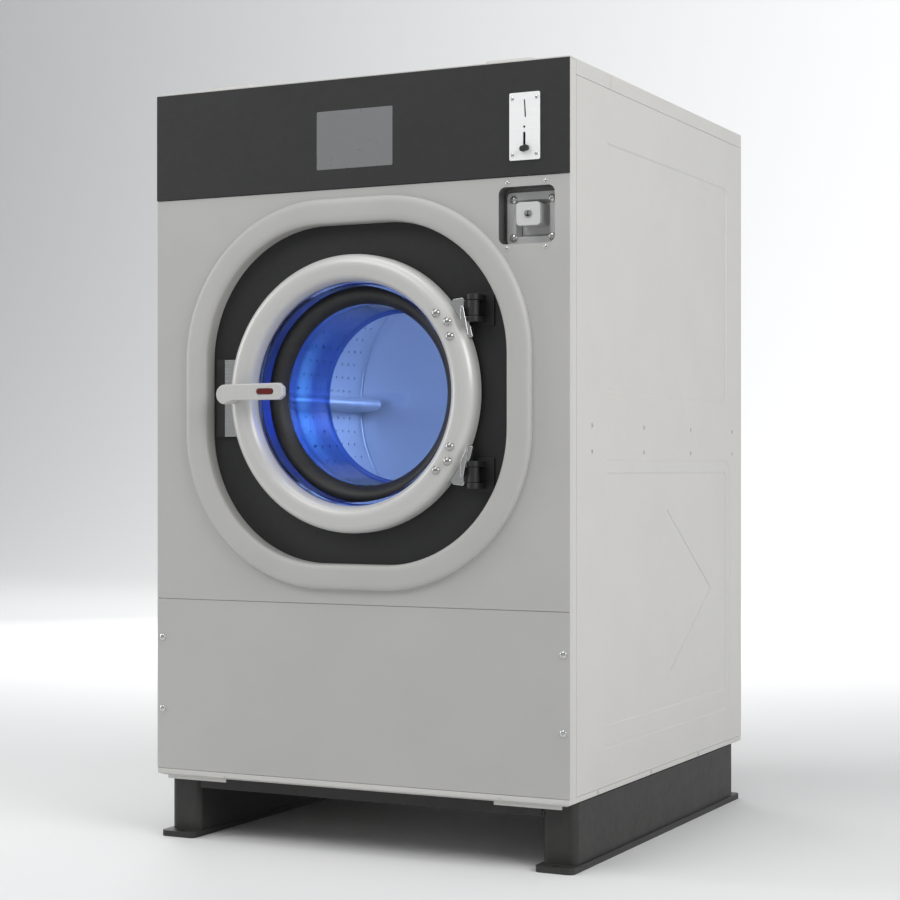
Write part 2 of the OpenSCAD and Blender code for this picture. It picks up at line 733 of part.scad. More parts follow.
// Belt drive
groove = 9;
belt_n = 3;
belt_pitch = 14;
function groove_y(i) = pulley_y0 + 8 + belt_pitch * i;
// The outline of a grooved rim from its edge inwards, as [radius, y] points
function rim(r) = concat([[r, pulley_y0]],
  [for (i = [0:belt_n - 1], p = [[r, -6], [r - groove, -4], [r - groove, 4], [r, 6]])
    [p[0], groove_y(i) + 0.5 + p[1]]], [[r, pulley_y0 + pulley_t]]);
module drum_pulley() {
  web = pulley_y0 + pulley_t / 2;
  color("#404246") difference() {
    turned(concat(rim(pulley_r), [[pulley_r - 22, pulley_y0 + pulley_t], [pulley_r - 24, web + 6],
      [62, web + 6], [58, pulley_y0 + pulley_t], [shaft_r, pulley_y0 + pulley_t], [shaft_r, pulley_y0],
      [58, pulley_y0], [62, web - 6], [pulley_r - 24, web - 6], [pulley_r - 22, pulley_y0]]));
    for (a = [0:60:300]) translate([0, 0, door_z]) rotate([0, a, 0])
      ycyl(0, (pulley_r + 40) / 2, 52, web - 10, web + 10);
  }
}

// The loop round both pulleys, as far outside their groove floors as grow
module belt_loop(grow) {
  r0 = pulley_r - groove + grow;
  r1 = motor_pulley_r - groove + grow;
  a = asin((r0 - r1) / (door_z - motor_z));
  translate([0, door_z]) circle(r0, $fn = 128);
  translate([0, motor_z]) circle(r1);
  polygon([for (s = [1, -1], c = s > 0 ? [[r0, door_z], [r1, motor_z]] : [[r1, motor_z], [r0, door_z]])
    [s * c[0] * cos(a), c[1] - c[0] * sin(a)]]);
}
module drive_belts() {
  color("#181818") for (i = [0:belt_n - 1]) slab_y(groove_y(i) - 3, groove_y(i) + 4) difference() {
    belt_loop(groove + 1);
    belt_loop(slack);
  }
}

motor_len = 250;
motor_y1 = pulley_y0 - 20;
motor_y0 = motor_y1 - motor_len;
motor_shaft_r = 14;
foot_z = motor_z - motor_r - 10;
module motor() {
  color("#55606a") difference() {
    union() {
      ycyl(0, motor_z, motor_r - 6, motor_y0, motor_y1);
      for (i = [0:10]) ycyl(0, motor_z, motor_r, motor_y0 + 25 + 19 * i, motor_y0 + 31 + 19 * i);
      span([-motor_r, motor_y0 + 40, foot_z], [motor_r, motor_y1 - 40, foot_z + 12]);
      span([-60, motor_y0 + 50, foot_z], [60, motor_y1 - 50, motor_z]);
      span([30, motor_y0 + 80, motor_z + 40], [85, motor_y0 + 160, motor_z + 105]);
    }
    ycyl(0, motor_z, motor_shaft_r + fit_gap, motor_y1 - 60, motor_y1 + 1);
  }
}
module motor_mount() {
  w = motor_r + 12;
  color("#4c4e50") difference() {
    span([-w, motor_y0 + 40, pan_z], [w, motor_y1 - 40, foot_z]);
    span([-w + 6, motor_y0 + 39, pan_z + 6], [w - 6, motor_y1 - 39, foot_z - 6]);
  }
}
module motor_rotor() {
  color("#404246") {
    ycyl(0, motor_z, motor_shaft_r, motor_y1 - 59, pulley_y0 + pulley_t + 6);
    translate([0, 0, motor_z - door_z])
      turned(concat(rim(motor_pulley_r), [[0, pulley_y0 + pulley_t], [0, pulley_y0]]), fn = 64);
  }
}

// Door
ring_y1 = recess_y - 8;
lip_y = ring_y1 - 8;
ring_t = 3;
function ring_curve(off, n = 18) = [for (i = [0:n]) let (t = i / n)
  [ring_ro - off - (ring_ro - ring_ri - 2 * off) * t, front_y + off - ring_bulge * dome(t, 2.5)]];
function flip(v) = [for (i = [len(v) - 1:-1:0]) v[i]];
module door_ring() {
  color("#b9b7b2") difference() {
    turned(concat([[ring_ro, ring_y1]], ring_curve(0), [[ring_ri, lip_y], [ring_ri + ring_t, lip_y]],
      flip(ring_curve(ring_t)), [[ring_ro - ring_t, ring_y1]]), fn = 160);
    ycyl(-handle_x, handle_z, bush_r, front_y - 60, ring_y1 + 1);
  }
}

module door_clamp_ring() {
  color("#8d8d8b") turned([[ring_ri + 2, ring_y1], [ring_ro - 5, ring_y1], [ring_ro - 5, ring_y1 + 3],
    [ring_ri + 2, ring_y1 + 3]]);
}

shoulder_y = front_y + 59;
module door_glass() {
  band = ring_ri - 1;
  back = shoulder_y + bowl_depth;
  ro = bowl_r + glass_t;
  c = 10;
  color("#3a6fd8", 0.5) turned(concat(
    [[ring_ri + 18, lip_y], [ring_ri + 18, ring_y1], [band, ring_y1], [band, shoulder_y + glass_t],
      [ro, shoulder_y + glass_t]],
    [for (a = [0:10:90]) [ro - c + c * cos(a), back + glass_t - c + c * sin(a)]],
    [[0, back + glass_t], [0, back]],
    [for (a = [90:-10:0]) [ro - c + (c - glass_t) * cos(a), back + glass_t - c + (c - glass_t) * sin(a)]],
    [[bowl_r, shoulder_y], [band - glass_t, shoulder_y], [band - glass_t, lip_y]]));
}

module door_trim_ring() {
  ro = ring_ri - 1 - glass_t - slack;
  ri = bowl_r + 2;
  color("#222222") turned(concat([[ri, shoulder_y], [ri, shoulder_y - 4]],
    [for (i = [0:10]) let (t = i / 10) [ri + (ro - ri) * t, shoulder_y - 3 - 22 * sin(6 + 108 * t)]],
    [[ro, shoulder_y]]));
}

nut_at = [[37.3, 246.6], [31, 257.4], [24.9, 248.4]];
module door_nuts() {
  color("#d8d8d6") for (n = nut_at, s = [-1, 1])
    dome_y(n[1] * cos(n[0]), door_z + s * n[1] * sin(n[0]), 8.7, front_y - ring_bulge - 0.1, 5.5);
}

eye_r = 11;
eye_h = 30;
function polar(r, a) = [r * cos(a), r * sin(a)];
module hinge_arm() {
  // A plate that follows the ring's edge, with an eye for the pin
  a0 = 22;
  a1 = 38;
  slab_y(front_y - 6, front_y + 9) polygon(concat(
    [for (i = [0:8]) polar(ring_ro + 0.1, a0 + (a1 - a0) * i / 8)],
    [[221.5, 177], [242.3, 179], [252.8, 161.5], [257.2, 131], [264, 103]]));
  difference() {
    union() {
      zcyl(hinge_x, hinge_y, eye_r, hinge_dz - eye_h / 2, hinge_dz + eye_h / 2);
      span([hinge_x - 24, hinge_y + 2, hinge_dz - eye_h / 2], [hinge_x, hinge_y + 14, hinge_dz + eye_h / 2]);
    }
    zcyl(hinge_x, hinge_y, hinge_pin_r + fit_gap, hinge_dz - eye_h, hinge_dz + eye_h);
  }
}
module upper_and_lower() {
  translate([0, 0, door_z]) {
    children();
    mirror([0, 0, 1]) children();
  }
}
module hinge_arms() { color("#d5d5d2") upper_and_lower() hinge_arm(); }

module hinge_brackets() {
  ear = 11;
  h0 = hinge_dz - eye_h / 2 - slack;
  h1 = hinge_dz + eye_h / 2 + slack;
  color("#1e1e1e") upper_and_lower() {
    span([hinge_x - 8, recess_y - 4, h0 - ear - 6], [hinge_x + 30, recess_y, h1 + ear + 6]);
    for (z = [h0 - ear, h1]) {
      zcyl(hinge_x, hinge_y, eye_r + 1, z, z + ear);
      span([hinge_x - 8, hinge_y, z], [hinge_x + 12, recess_y - 1, z + ear]);
    }
    zcyl(hinge_x, hinge_y, hinge_pin_r, h0 - ear, h1 + ear);
  }
}

latch_h = 155;
module latch_plate() {
  color("#c2c1bd") slab_y(ring_y1, ring_y1 + 3) difference() {
    translate([-ring_ro - 31, door_z - latch_h / 2 - 4]) square([54, latch_h]);
    translate([0, door_z]) circle(ring_ro - 4.9, $fn = 128);
  }
}

module lock_housing() {
  y0 = ring_y1 + 3.5;
  color("#141414") slab_y(y0, recess_y) difference() {
    translate([-ring_ro - 32, door_z - 4]) rrect(42, latch_h + 4, 4);
    translate([-ring_ro - 19, door_z - 4]) rrect(12, 44, 3);
  }
}

handle_z = door_z + 1;
bush_r = 13;
handle_y0 = front_y - 63;
module handle_bush() {
  color("#3a3a3a") difference() {
    ycyl(-handle_x, handle_z, bush_r, front_y - ring_bulge - 2, ring_y1);
    ycyl(-handle_x, handle_z, handle_shaft_r + fit_gap, front_y - ring_bulge - 3, ring_y1 - 3);
  }
}
module door_handle() {
  x1 = -handle_x + handle_len;
  color("#bfbdb8") difference() {
    union() {
      ycyl(-handle_x, handle_z, 20, handle_y0 + 0.4, front_y - ring_bulge - 2 - slack);
      slab_y(handle_y0 + 1, handle_y0 + 14) polygon([[-handle_x - 4, handle_z + 19.6],
        [x1 - 9, handle_z + 21], [x1, handle_z + 12], [x1, handle_z - 4], [x1 - 9, handle_z - 12],
        [-handle_x + 16, handle_z - 12], [-handle_x, handle_z - 20]]);
      ycyl(-handle_x, handle_z, handle_shaft_r, handle_y0 + 2, ring_y1 - 4);
    }
    slab_y(handle_y0, handle_y0 + 4) translate([x1 - 41, handle_z + 4.5]) rrect(40, 13, 6.5);
  }
}
module handle_window() {
  color("#5b1f1f") slab_y(handle_y0 + 2, handle_y0 + 4)
    translate([-handle_x + handle_len - 41, handle_z + 4.5]) rrect(36, 9, 4.5);
}

// Water, drain, drive electronics and fasteners
module inlet_valves() {
  color("#e0e0dc") for (v = inlet_xs) {
    span([v - 22, rear_y - 62, inlet_z - 22], [v + 22, rear_y - sheet, inlet_z + 20]);
    ycyl(v, inlet_z, inlet_r, rear_y - 3, rear_y + inlet_out);
    zcyl(v, rear_y - 22, 14, inlet_z + 20, inlet_z + 38);
  }
}

module drain_valve() {
  z1 = door_z - tub_wall(drain_x + sump_r) - 60;
  // From the tub's sump through a ball valve and an elbow to the outlet
  color("#48484a") {
    zcyl(drain_x, drain_y, drain_r, drain_z, z1);
    zcyl(drain_x, drain_y, drain_r + 16, drain_z + 70, z1 - 60);
    span([drain_x - 40, drain_y - 110, drain_z + 90], [drain_x + 40, drain_y - 40, drain_z + 150]);
    translate([drain_x, drain_y, drain_z]) sphere(drain_r);
    difference() {
      union() {
        ycyl(drain_x, drain_z, drain_r - 2, drain_y, rear_y + drain_out);
        ycyl(drain_x, drain_z, drain_r, rear_y + 6, rear_y + drain_out);
      }
      ycyl(drain_x, drain_z, drain_r - 4, rear_y - 100, rear_y + drain_out + 1);
    }
  }
}

module drive_box() {
  x1 = side_x - 60;
  z0 = door_z + pulley_r + 36;
  z1 = cab_h - 85;
  color("#6a6c70") {
    difference() {
      span([x1 - 280, rear_y - 205, z0], [x1, rear_y - 25, z1]);
      for (i = [0:6]) span([x1 - 250 + 34 * i, rear_y - 206, z0 + 20], [x1 - 234 + 34 * i, rear_y - 202, z1 - 20]);
    }
    // Cable gland through the rear panel
    difference() {
      ycyl(gland_x, gland_z, 12, rear_y - 26, rear_y + 14);
      ycyl(gland_x, gland_z, 8, rear_y - 24, rear_y + 15);
    }
  }
}

module panel_screws() {
  color("#dcdcda") {
    for (x = [13 - side_x, side_x - 13], z = [seam_z - 226, seam_z - 79.5]) dome_y(x, z, 7, front_y, 3.5);
    for (x = [-39.3, 39.3], z = [-61.6, 61.6]) dome_y(vault_x + x, vault_z + z, 4, front_y, 2);
    for (x = [-24.5, 24.5], z = [-52.8, 52.8]) dome_y(coin_x + x, coin_z + z, 3.5, fascia_y - 3, 1.6);
    for (x = [-39.5, 39.5], z = [-36, 36]) dome_y(vault_x + x, plate_z + z, 7.5, plate_y, 5);
    both() for (y = [-396, -120, 160, 439], z = [790, 840])
      translate([side_x, y, z]) rotate([0, 90, 0]) cylinder(r1 = 4.5, r2 = 3.4, h = 1.2);
    both() for (y = [-366, -77, 212])
      translate([side_x - 0.5, y, (pan_z + sill_z) / 2]) rotate([0, 90, 0]) cylinder(r1 = 4, r2 = 3, h = 1.5);
  }
}

base_rails();
base_crossmembers();
floor_pan();
corner_posts();
frame_rails();
side_panel_left();
side_panel_right();
upper_front_panel();
lower_front_panel();
recess_panel();
control_fascia();
touch_screen();
coin_plate();
coin_mech();
coin_lever();
vault_pocket();
vault_plate();
vault_sleeve();
coin_drawer();
vault_lock();
coin_chute();
top_panel();
hatch_brackets();
hatch_lid_left();
hatch_lid_right();
soap_hoppers();
fill_pipes();
rear_upper_panel();
rear_lower_panel();
outer_tub();
tub_gasket();
tub_cradles();
bearing_frame();
bearing_housing();
bearings();
shaft_seal();
drum_shell();
drum_lifters();
drum_spider();
drum_pulley();
drive_belts();
motor();
motor_mount();
motor_rotor();
door_ring();
door_clamp_ring();
door_glass();
door_trim_ring();
door_nuts();
hinge_arms();
hinge_brackets();
latch_plate();
handle_bush();
door_handle();
handle_window();
lock_housing();
inlet_valves();
drain_valve();
drive_box();
panel_screws();
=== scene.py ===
import json
import math

import bpy
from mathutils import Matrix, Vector


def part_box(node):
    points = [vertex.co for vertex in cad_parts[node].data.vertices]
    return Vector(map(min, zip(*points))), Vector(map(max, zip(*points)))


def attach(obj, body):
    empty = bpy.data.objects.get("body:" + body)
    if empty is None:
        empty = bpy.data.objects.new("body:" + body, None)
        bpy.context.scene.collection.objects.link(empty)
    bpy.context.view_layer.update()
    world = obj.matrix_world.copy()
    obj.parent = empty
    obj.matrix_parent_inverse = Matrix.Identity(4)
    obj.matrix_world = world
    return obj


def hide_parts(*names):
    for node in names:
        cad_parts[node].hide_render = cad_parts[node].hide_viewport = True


bl_info = {
    "name": "Washer-extractor",
    "version": (1, 0, 0),
    "blender": (4, 5, 0),
    "location": "3D View > Sidebar > Washer",
    "description": "Dresses the packed washer-extractor with its sheets, door, drum and finishes",
    "category": "Object",
}

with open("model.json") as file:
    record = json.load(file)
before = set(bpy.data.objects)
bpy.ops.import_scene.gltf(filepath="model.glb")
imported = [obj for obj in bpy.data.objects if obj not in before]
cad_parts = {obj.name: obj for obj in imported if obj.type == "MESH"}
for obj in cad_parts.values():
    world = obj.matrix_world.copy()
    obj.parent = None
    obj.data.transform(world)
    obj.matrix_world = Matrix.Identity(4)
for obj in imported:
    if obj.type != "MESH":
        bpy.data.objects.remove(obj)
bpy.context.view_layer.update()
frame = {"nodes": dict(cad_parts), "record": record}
NODES = frame["nodes"]
RECORD = frame["record"]
BODY_OF = {node: body for body, nodes in RECORD["behaviour"]["bodies"].items() for node in nodes}
SLOT_OF = {part["node"]: part["material_slot"] for part in RECORD["subparts"]}

FRONT_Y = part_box("lower_front_panel")[0][1]
SIDE_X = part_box("side_panel_right")[1][0]
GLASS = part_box("door_glass")
DOOR_Z = (GLASS[0][2] + GLASS[1][2]) / 2
RECESS_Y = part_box("recess_panel")[0][1]
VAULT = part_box("vault_plate")
VAULT_X = (VAULT[0][0] + VAULT[1][0]) / 2
SHAFT_X, SHAFT_Z = -0.258, 0.905
VAULT_Z = 1.234
VAULT_PLATE_Z = 1.231
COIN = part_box("coin_plate")
COIN_X = (COIN[0][0] + COIN[1][0]) / 2
COIN_Z = (COIN[0][2] + COIN[1][2]) / 2
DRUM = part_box("drum_shell")
SHEET = 0.0015


def length(name, description, default, **limits):
    return bpy.props.FloatProperty(
        name=name, description=description, default=default, unit="LENGTH", **limits)


def colour(name, description, default):
    return bpy.props.FloatVectorProperty(
        name=name, description=description, default=default, subtype="COLOR", size=3, min=0, max=1)


class WasherSizes(bpy.types.PropertyGroup):
    """Sizes of the dressed pieces that a user would change."""

    edge: length("Edge rounding", "Rounding of sheet and casting edges", 0.0009, min=0.0002, max=0.003)
    bead_flat: length("Surround flank", "Half length of the door surround's straight sides", 0.070)
    bead_outer: length("Surround, outer", "Half width of the door surround", 0.384)
    bead_inner: length("Surround, inner", "Half width of the surround's opening", 0.334)
    bead_height: length("Surround height", "How far the surround stands out", 0.014)
    bowl_radius: length("Glass bowl radius", "Inner radius of the glass bowl", 0.178)
    drum_hole: length("Drum hole", "Width of one hole in the drum's wall", 0.006)
    steps: bpy.props.IntProperty(
        name="Turned steps", description="Steps of a turned piece", default=160, min=64, max=256)


class WasherColours(bpy.types.PropertyGroup):
    """Colours of the finishes, as linear values."""

    body: colour("Cabinet paint", "Paint of the sides and top", (0.60, 0.59, 0.565))
    front: colour("Front sheet", "Satin metal coat of the front", (0.47, 0.465, 0.45))
    dark: colour("Fascia", "Control fascia across the front", (0.020, 0.020, 0.0205))
    glass: colour("Door glass", "Tint of the door's glass", (0.16, 0.36, 0.92))


def sizes():
    return bpy.context.scene.washer_sizes


def colours():
    return bpy.context.scene.washer_colours


# Modelling by hand, in code


def begin():
    """Leaves edit mode and deselects everything."""
    if bpy.context.object and bpy.context.object.mode != "OBJECT":
        bpy.ops.object.mode_set(mode="OBJECT")
    bpy.ops.object.select_all(action="DESELECT")


def take(obj):
    """Makes one object the only selected and active one."""
    begin()
    obj.select_set(True)
    bpy.context.view_layer.objects.active = obj


def named(name):
    obj = bpy.context.object
    obj.name = name
    obj.data.name = name
    return obj


def edit(mode="FACE", select=None):
    bpy.ops.object.mode_set(mode="EDIT")
    bpy.ops.mesh.select_mode(type=mode)
    if select:
        bpy.ops.mesh.select_all(action=select)


def leave():
    bpy.ops.object.mode_set(mode="OBJECT")


def pick_edges(obj, test):
    """Selects the edges for which test(a, b) holds on their ends, and enters edit mode."""
    edit("EDGE", "DESELECT")
    leave()
    points = obj.data.vertices
    for side in obj.data.edges:
        side.select = bool(test(points[side.vertices[0]].co, points[side.vertices[1]].co))
    bpy.ops.object.mode_set(mode="EDIT")


def pick_points(obj, test):
    """Selects the points for which test(place) holds, and enters edit mode."""
    edit("VERT", "DESELECT")
    leave()
    for point in obj.data.vertices:
        point.select = bool(test(point.co))
    bpy.ops.object.mode_set(mode="EDIT")


def push(x=0.0, y=0.0, z=0.0):
    """Extrudes what is selected and moves it."""
    bpy.ops.mesh.extrude_region_move(TRANSFORM_OT_translate={"value": (x, y, z)})


def block(name, low, high):
    """A box between two corners, as the start of a piece."""
    begin()
    bpy.ops.mesh.primitive_cube_add(
        size=1, location=[(a + b) / 2 for a, b in zip(low, high)],
        scale=[b - a for a, b in zip(low, high)])
    bpy.ops.object.transform_apply(location=True, rotation=True, scale=True)
    return named(name)


def rod(name, start, radius, depth, sides=48):
    """A round bar from its start along Y, as a tool for a cut."""
    begin()
    x, y, z = start
    bpy.ops.mesh.primitive_cylinder_add(vertices=sides, radius=radius, depth=depth,
                                        location=(x, y + depth / 2, z), rotation=(math.pi / 2, 0, 0))
    bpy.ops.object.transform_apply(location=True, rotation=True, scale=True)
    return named(name)


def chain(name, points, closed=False):
    """A line of edges through points, drawn by extruding one vertex; closed fills it as a face."""
    begin()
    bpy.ops.mesh.primitive_plane_add(size=0.01, location=(0, 0, 0))
    obj = named(name)
    edit("VERT", "SELECT")
    bpy.ops.mesh.merge(type="CENTER")
    bpy.ops.transform.translate(value=points[0])
    for a, b in zip(points, points[1:]):
        bpy.ops.mesh.extrude_vertices_move(
            TRANSFORM_OT_translate={"value": [q - p for p, q in zip(a, b)]})
    if closed:
        bpy.ops.mesh.select_all(action="SELECT")
        bpy.ops.mesh.edge_face_add()
    leave()
    return obj


def close_up(obj, gap=1e-5):
    """Merges doubles and turns the normals outwards."""
    take(obj)
    edit("VERT", "SELECT")
    bpy.ops.mesh.remove_doubles(threshold=gap)
    bpy.ops.mesh.normals_make_consistent(inside=False)
    leave()
    return obj


def moved(obj, x=0.0, y=0.0, z=0.0, degrees=0.0, axis="Y"):
    """Turns a mesh about an axis through the origin, and then moves it."""
    take(obj)
    edit("FACE", "SELECT")
    if degrees:
        bpy.ops.transform.rotate(
            value=math.radians(degrees), orient_axis=axis, center_override=(0, 0, 0))
    bpy.ops.transform.translate(value=(x, y, z))
    leave()
    return obj


def turned(name, profile, steps=None, centre=(0.0, None), axis="Y"):
    """A profile of (radius, place) points spun about an axis through the centre."""
    a, b = centre[0], DOOR_Z if centre[1] is None else centre[1]
    if axis == "Y":
        points = [(a + r, y, b) for r, y in profile]
        middle, way = (a, 0, b), (0, 1, 0)
    else:
        points = [(a + r, b, z) for r, z in profile]
        middle, way = (a, b, 0), (0, 0, 1)
    obj = chain(name, points)
    edit("VERT", "SELECT")
    bpy.ops.mesh.spin(
        steps=steps or sizes().steps, angle=2 * math.pi, center=middle, axis=way, use_auto_merge=True)
    leave()
    return close_up(obj)


def slab(name, outline, start, end, axis="y"):
    """A flat piece between two places along an axis, with an outline of (x, z) or (y, z) points."""
    points = [(a, start, b) if axis == "y" else (start, a, b) for a, b in outline]
    obj = chain(name, points, closed=True)
    edit("FACE", "SELECT")
    push(**{axis: end - start})
    leave()
    return close_up(obj)


def lofted(name, loops, caps=(False, True)):
    """A skin through closed loops of points, with its first and last loops filled on request."""
    bands = []
    for pair in zip(loops, loops[1:]):
        band = join("band", *[close_up(chain("band_loop", loop + [loop[0]])) for loop in pair])
        edit("EDGE", "SELECT")
        bpy.ops.mesh.bridge_edge_loops()
        leave()
        bands.append(band)
    obj = close_up(join(name, *bands))
    for capped, loop in zip(caps, (loops[0], loops[-1])):
        if capped:
            pick_points(obj, lambda p: any((p - Vector(q)).length < 2e-5 for q in loop))
            bpy.ops.mesh.edge_face_add()
            leave()
    return obj


def arc(cx, cz, r, a0, a1, n):
    """The points of an arc in n steps between two angles, in degrees."""
    angles = [math.radians(a0 + (a1 - a0) * i / n) for i in range(n + 1)]
    return [(cx + r * math.cos(a), cz + r * math.sin(a)) for a in angles]


def rounded(cx, cz, w, h, r, n=6):
    """The outline of a rectangle with round corners."""
    points = []
    for turn, (x, z) in enumerate(((1, 1), (-1, 1), (-1, -1), (1, -1))):
        points += arc(cx + x * (w / 2 - r), cz + z * (h / 2 - r), r, 90 * turn, 90 * turn + 90, n)
    return points


def with_modifier(obj, kind, **values):
    """Adds a modifier with its values, and applies it."""
    take(obj)
    bpy.ops.object.modifier_add(type=kind)
    modifier = obj.modifiers[-1]
    for key, value in values.items():
        setattr(modifier, key, value)
    bpy.ops.object.modifier_apply(modifier=modifier.name)
    return obj


def bevel(obj, width, segments=2, angle=35):
    return with_modifier(
        obj, "BEVEL", width=width, segments=segments, limit_method="ANGLE",
        angle_limit=math.radians(angle), harden_normals=False, miter_outer="MITER_ARC")


def cut(obj, *tools):
    """Cuts tools out of an object and removes them."""
    for tool in tools:
        with_modifier(obj, "BOOLEAN", object=tool, operation="DIFFERENCE", solver="EXACT")
        bpy.data.objects.remove(tool)
    return obj


def join(name, *parts):
    """Joins parts into one piece."""
    take(parts[0])
    for part in parts[1:]:
        part.select_set(True)
    bpy.ops.object.join()
    return named(name)


def mirrored(obj, scale, centre=(0, 0, 0), keep=True):
    """Adds the mirror image of an object's mesh about a plane, or puts it in the mesh's place."""
    take(obj)
    edit("FACE", "SELECT")
    if keep:
        bpy.ops.mesh.duplicate()
    bpy.ops.transform.resize(value=scale, center_override=centre)
    bpy.ops.mesh.flip_normals()
    leave()
    return obj


def copied(obj, name, x=0.0, y=0.0, z=0.0):
    """A moved copy with its own mesh."""
    take(obj)
    bpy.ops.object.duplicate()
    return moved(named(name), x, y, z)


def smooth(obj, angle=35):
    take(obj)
    bpy.ops.object.shade_smooth_by_angle(angle=math.radians(angle))
    return obj


def finish(obj, material, *nodes, body=None, angle=35):
    """Shades a piece, gives it its finish, hangs it on the body it rides on, and hides the CAD nodes it
    stands for.
    """
    smooth(obj, angle)
    if material != "blue_glass":
        with_modifier(obj, "WEIGHTED_NORMAL", keep_sharp=True)
    obj.data.materials.clear()
    obj.data.materials.append(bpy.data.materials[material])
    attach(obj, body or BODY_OF[nodes[0]])
    if nodes:
        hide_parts(*nodes)
    return obj


def softened(node, width=None, segments=2, angle=35):
    """A copy of a CAD node with its edges rounded, in place of the node."""
    take(NODES[node])
    bpy.ops.object.duplicate()
    obj = named(node + "_rounded")
    edit("VERT", "SELECT")
    bpy.ops.mesh.remove_doubles(threshold=2e-6)
    bpy.ops.mesh.customdata_custom_splitnormals_clear()
    bpy.ops.mesh.dissolve_limited(angle_limit=math.radians(0.6))
    leave()
    bevel(obj, width or sizes().edge, segments, angle)
    return finish(obj, SLOT_OF[node], node)


# Finishes


def group(name, inputs, outputs):
    """A shader node group with named sockets, and its two ends."""
    tree = bpy.data.node_groups.new(name, "ShaderNodeTree")
    for label, value in inputs:
        kind = "NodeSocketColor" if isinstance(value, tuple) else "NodeSocketFloat"
        socket = tree.interface.new_socket(label, in_out="INPUT", socket_type=kind)
        socket.default_value = value
    for label, kind in outputs:
        tree.interface.new_socket(label, in_out="OUTPUT", socket_type=kind)
    return tree, tree.nodes.new("NodeGroupInput"), tree.nodes.new("NodeGroupOutput")


def feed(tree, socket, source):
    """Links an output to a socket, or sets the socket's value."""
    if hasattr(source, "is_output"):
        tree.links.new(source, socket)
    else:
        socket.default_value = source


def node(tree, kind, *links, **values):
    """Adds a node, sets its values, and feeds its inputs, given as (name or index, source)."""
    made = tree.nodes.new(kind)
    for key, value in values.items():
        setattr(made, key, value)
    for socket, source in links:
        feed(tree, made.inputs[socket], source)
    return made


def noise(tree, place, scale, detail=3.0, rough=0.5):
    return node(tree, "ShaderNodeTexNoise", ("Vector", place), ("Scale", scale), ("Detail", detail),
                ("Roughness", rough)).outputs["Fac"]


def spread(tree, value, low, high, to_low=0.0, to_high=1.0):
    """Maps a value from one range to another, clamped."""
    return node(tree, "ShaderNodeMapRange", ("Value", value), ("From Min", low), ("From Max", high),
                ("To Min", to_low), ("To Max", to_high)).outputs["Result"]


def scaled(tree, place, sx, sy, sz):
    return node(tree, "ShaderNodeMapping", ("Vector", place), ("Scale", (sx, sy, sz))).outputs["Vector"]


def maths(tree, how, a, b=0.0):
    return node(tree, "ShaderNodeMath", (0, a), (1, b), operation=how).outputs[0]


def tinted(tree, factor, a, b, how="MIX"):
    """Mixes two colours; the mix node's colour sockets are 6 and 7, and its colour output is 2."""
    mixed = node(tree, "ShaderNodeMix", data_type="RGBA", blend_type=how)
    for socket, source in ((0, factor), (6, a), (7, b)):
        feed(tree, mixed.inputs[socket], source)
    return mixed.outputs[2]


def bumped(tree, height, strength, distance):
    return node(tree, "ShaderNodeBump", ("Height", height), ("Strength", strength),
                ("Distance", distance)).outputs["Normal"]


SKIN_ENDS = [("Color", "NodeSocketColor"), ("Roughness", "NodeSocketFloat"), ("Normal", "NodeSocketVector")]
GREY = (0.5, 0.5, 0.5, 1)
SKIN_DEPTH = 0.0002


def skin(name, **values):
    """A group for a skin with a colour and values: its tree, given values, end and place on the object."""
    tree, start, end = group(name, [("Color", GREY)] + list(values.items()), SKIN_ENDS)
    return tree, start.outputs, end, node(tree, "ShaderNodeTexCoord").outputs["Object"]


def shaded(tree, given, shade):
    return tinted(tree, 1.0, given["Color"], shade, "MULTIPLY")


def added(tree, *values):
    total = values[0]
    for value in values[1:]:
        total = maths(tree, "ADD", total, value)
    return total


def link_skin(tree, end, colour_of, rough, normal):
    for label, source in (("Color", colour_of), ("Roughness", rough), ("Normal", normal)):
        tree.links.new(source, end.inputs[label])


def about_axis(tree, place):
    """The distance from the drum's axis, and the place along Y and Z from the door's centre."""
    centred = node(tree, "ShaderNodeMapping", ("Vector", place), ("Location", (0, 0, -DOOR_Z))).outputs[0]
    x, y, z = node(tree, "ShaderNodeSeparateXYZ", ("Vector", centred)).outputs
    squares = [maths(tree, "MULTIPLY", part, part) for part in (x, z)]
    return maths(tree, "SQRT", added(tree, *squares)), y, z


def make_powder_coat():
    """Orange peel and slight unevenness of a sprayed coat."""
    tree, given, end, place = skin("powder_coat", Peel=0.12, Roughness=0.42, Mottle=0.04)
    peel = noise(tree, place, 900.0, 2.0)
    low = maths(tree, "SUBTRACT", 1.0, given["Mottle"])
    shade = spread(tree, noise(tree, place, 7.0, 3.0), 0.3, 0.7, low, 1.0)
    cloud = spread(tree, noise(tree, place, 60.0, 2.0), 0.3, 0.7, -0.03, 0.03)
    link_skin(tree, end, shaded(tree, given, shade), added(tree, given["Roughness"], cloud),
              bumped(tree, peel, given["Peel"], SKIN_DEPTH))


def make_brushed_grain():
    """Fine lines of brushed metal along X, with faint smudges."""
    tree, given, end, place = skin("brushed_grain", Grain=0.1, Roughness=0.3, Smudge=0.05)
    lines = noise(tree, scaled(tree, place, 12.0, 900.0, 900.0), 1.0, 2.0)
    smudge = spread(tree, noise(tree, place, 9.0, 4.0, 0.6), 0.3, 0.7, -1.0, 1.0)
    rough = added(tree, given["Roughness"], maths(tree, "MULTIPLY", smudge, given["Smudge"]),
                  spread(tree, lines, 0.3, 0.7, -0.03, 0.03))
    link_skin(tree, end, shaded(tree, given, spread(tree, lines, 0.25, 0.75, 0.93, 1.0)), rough,
              bumped(tree, lines, given["Grain"], SKIN_DEPTH))


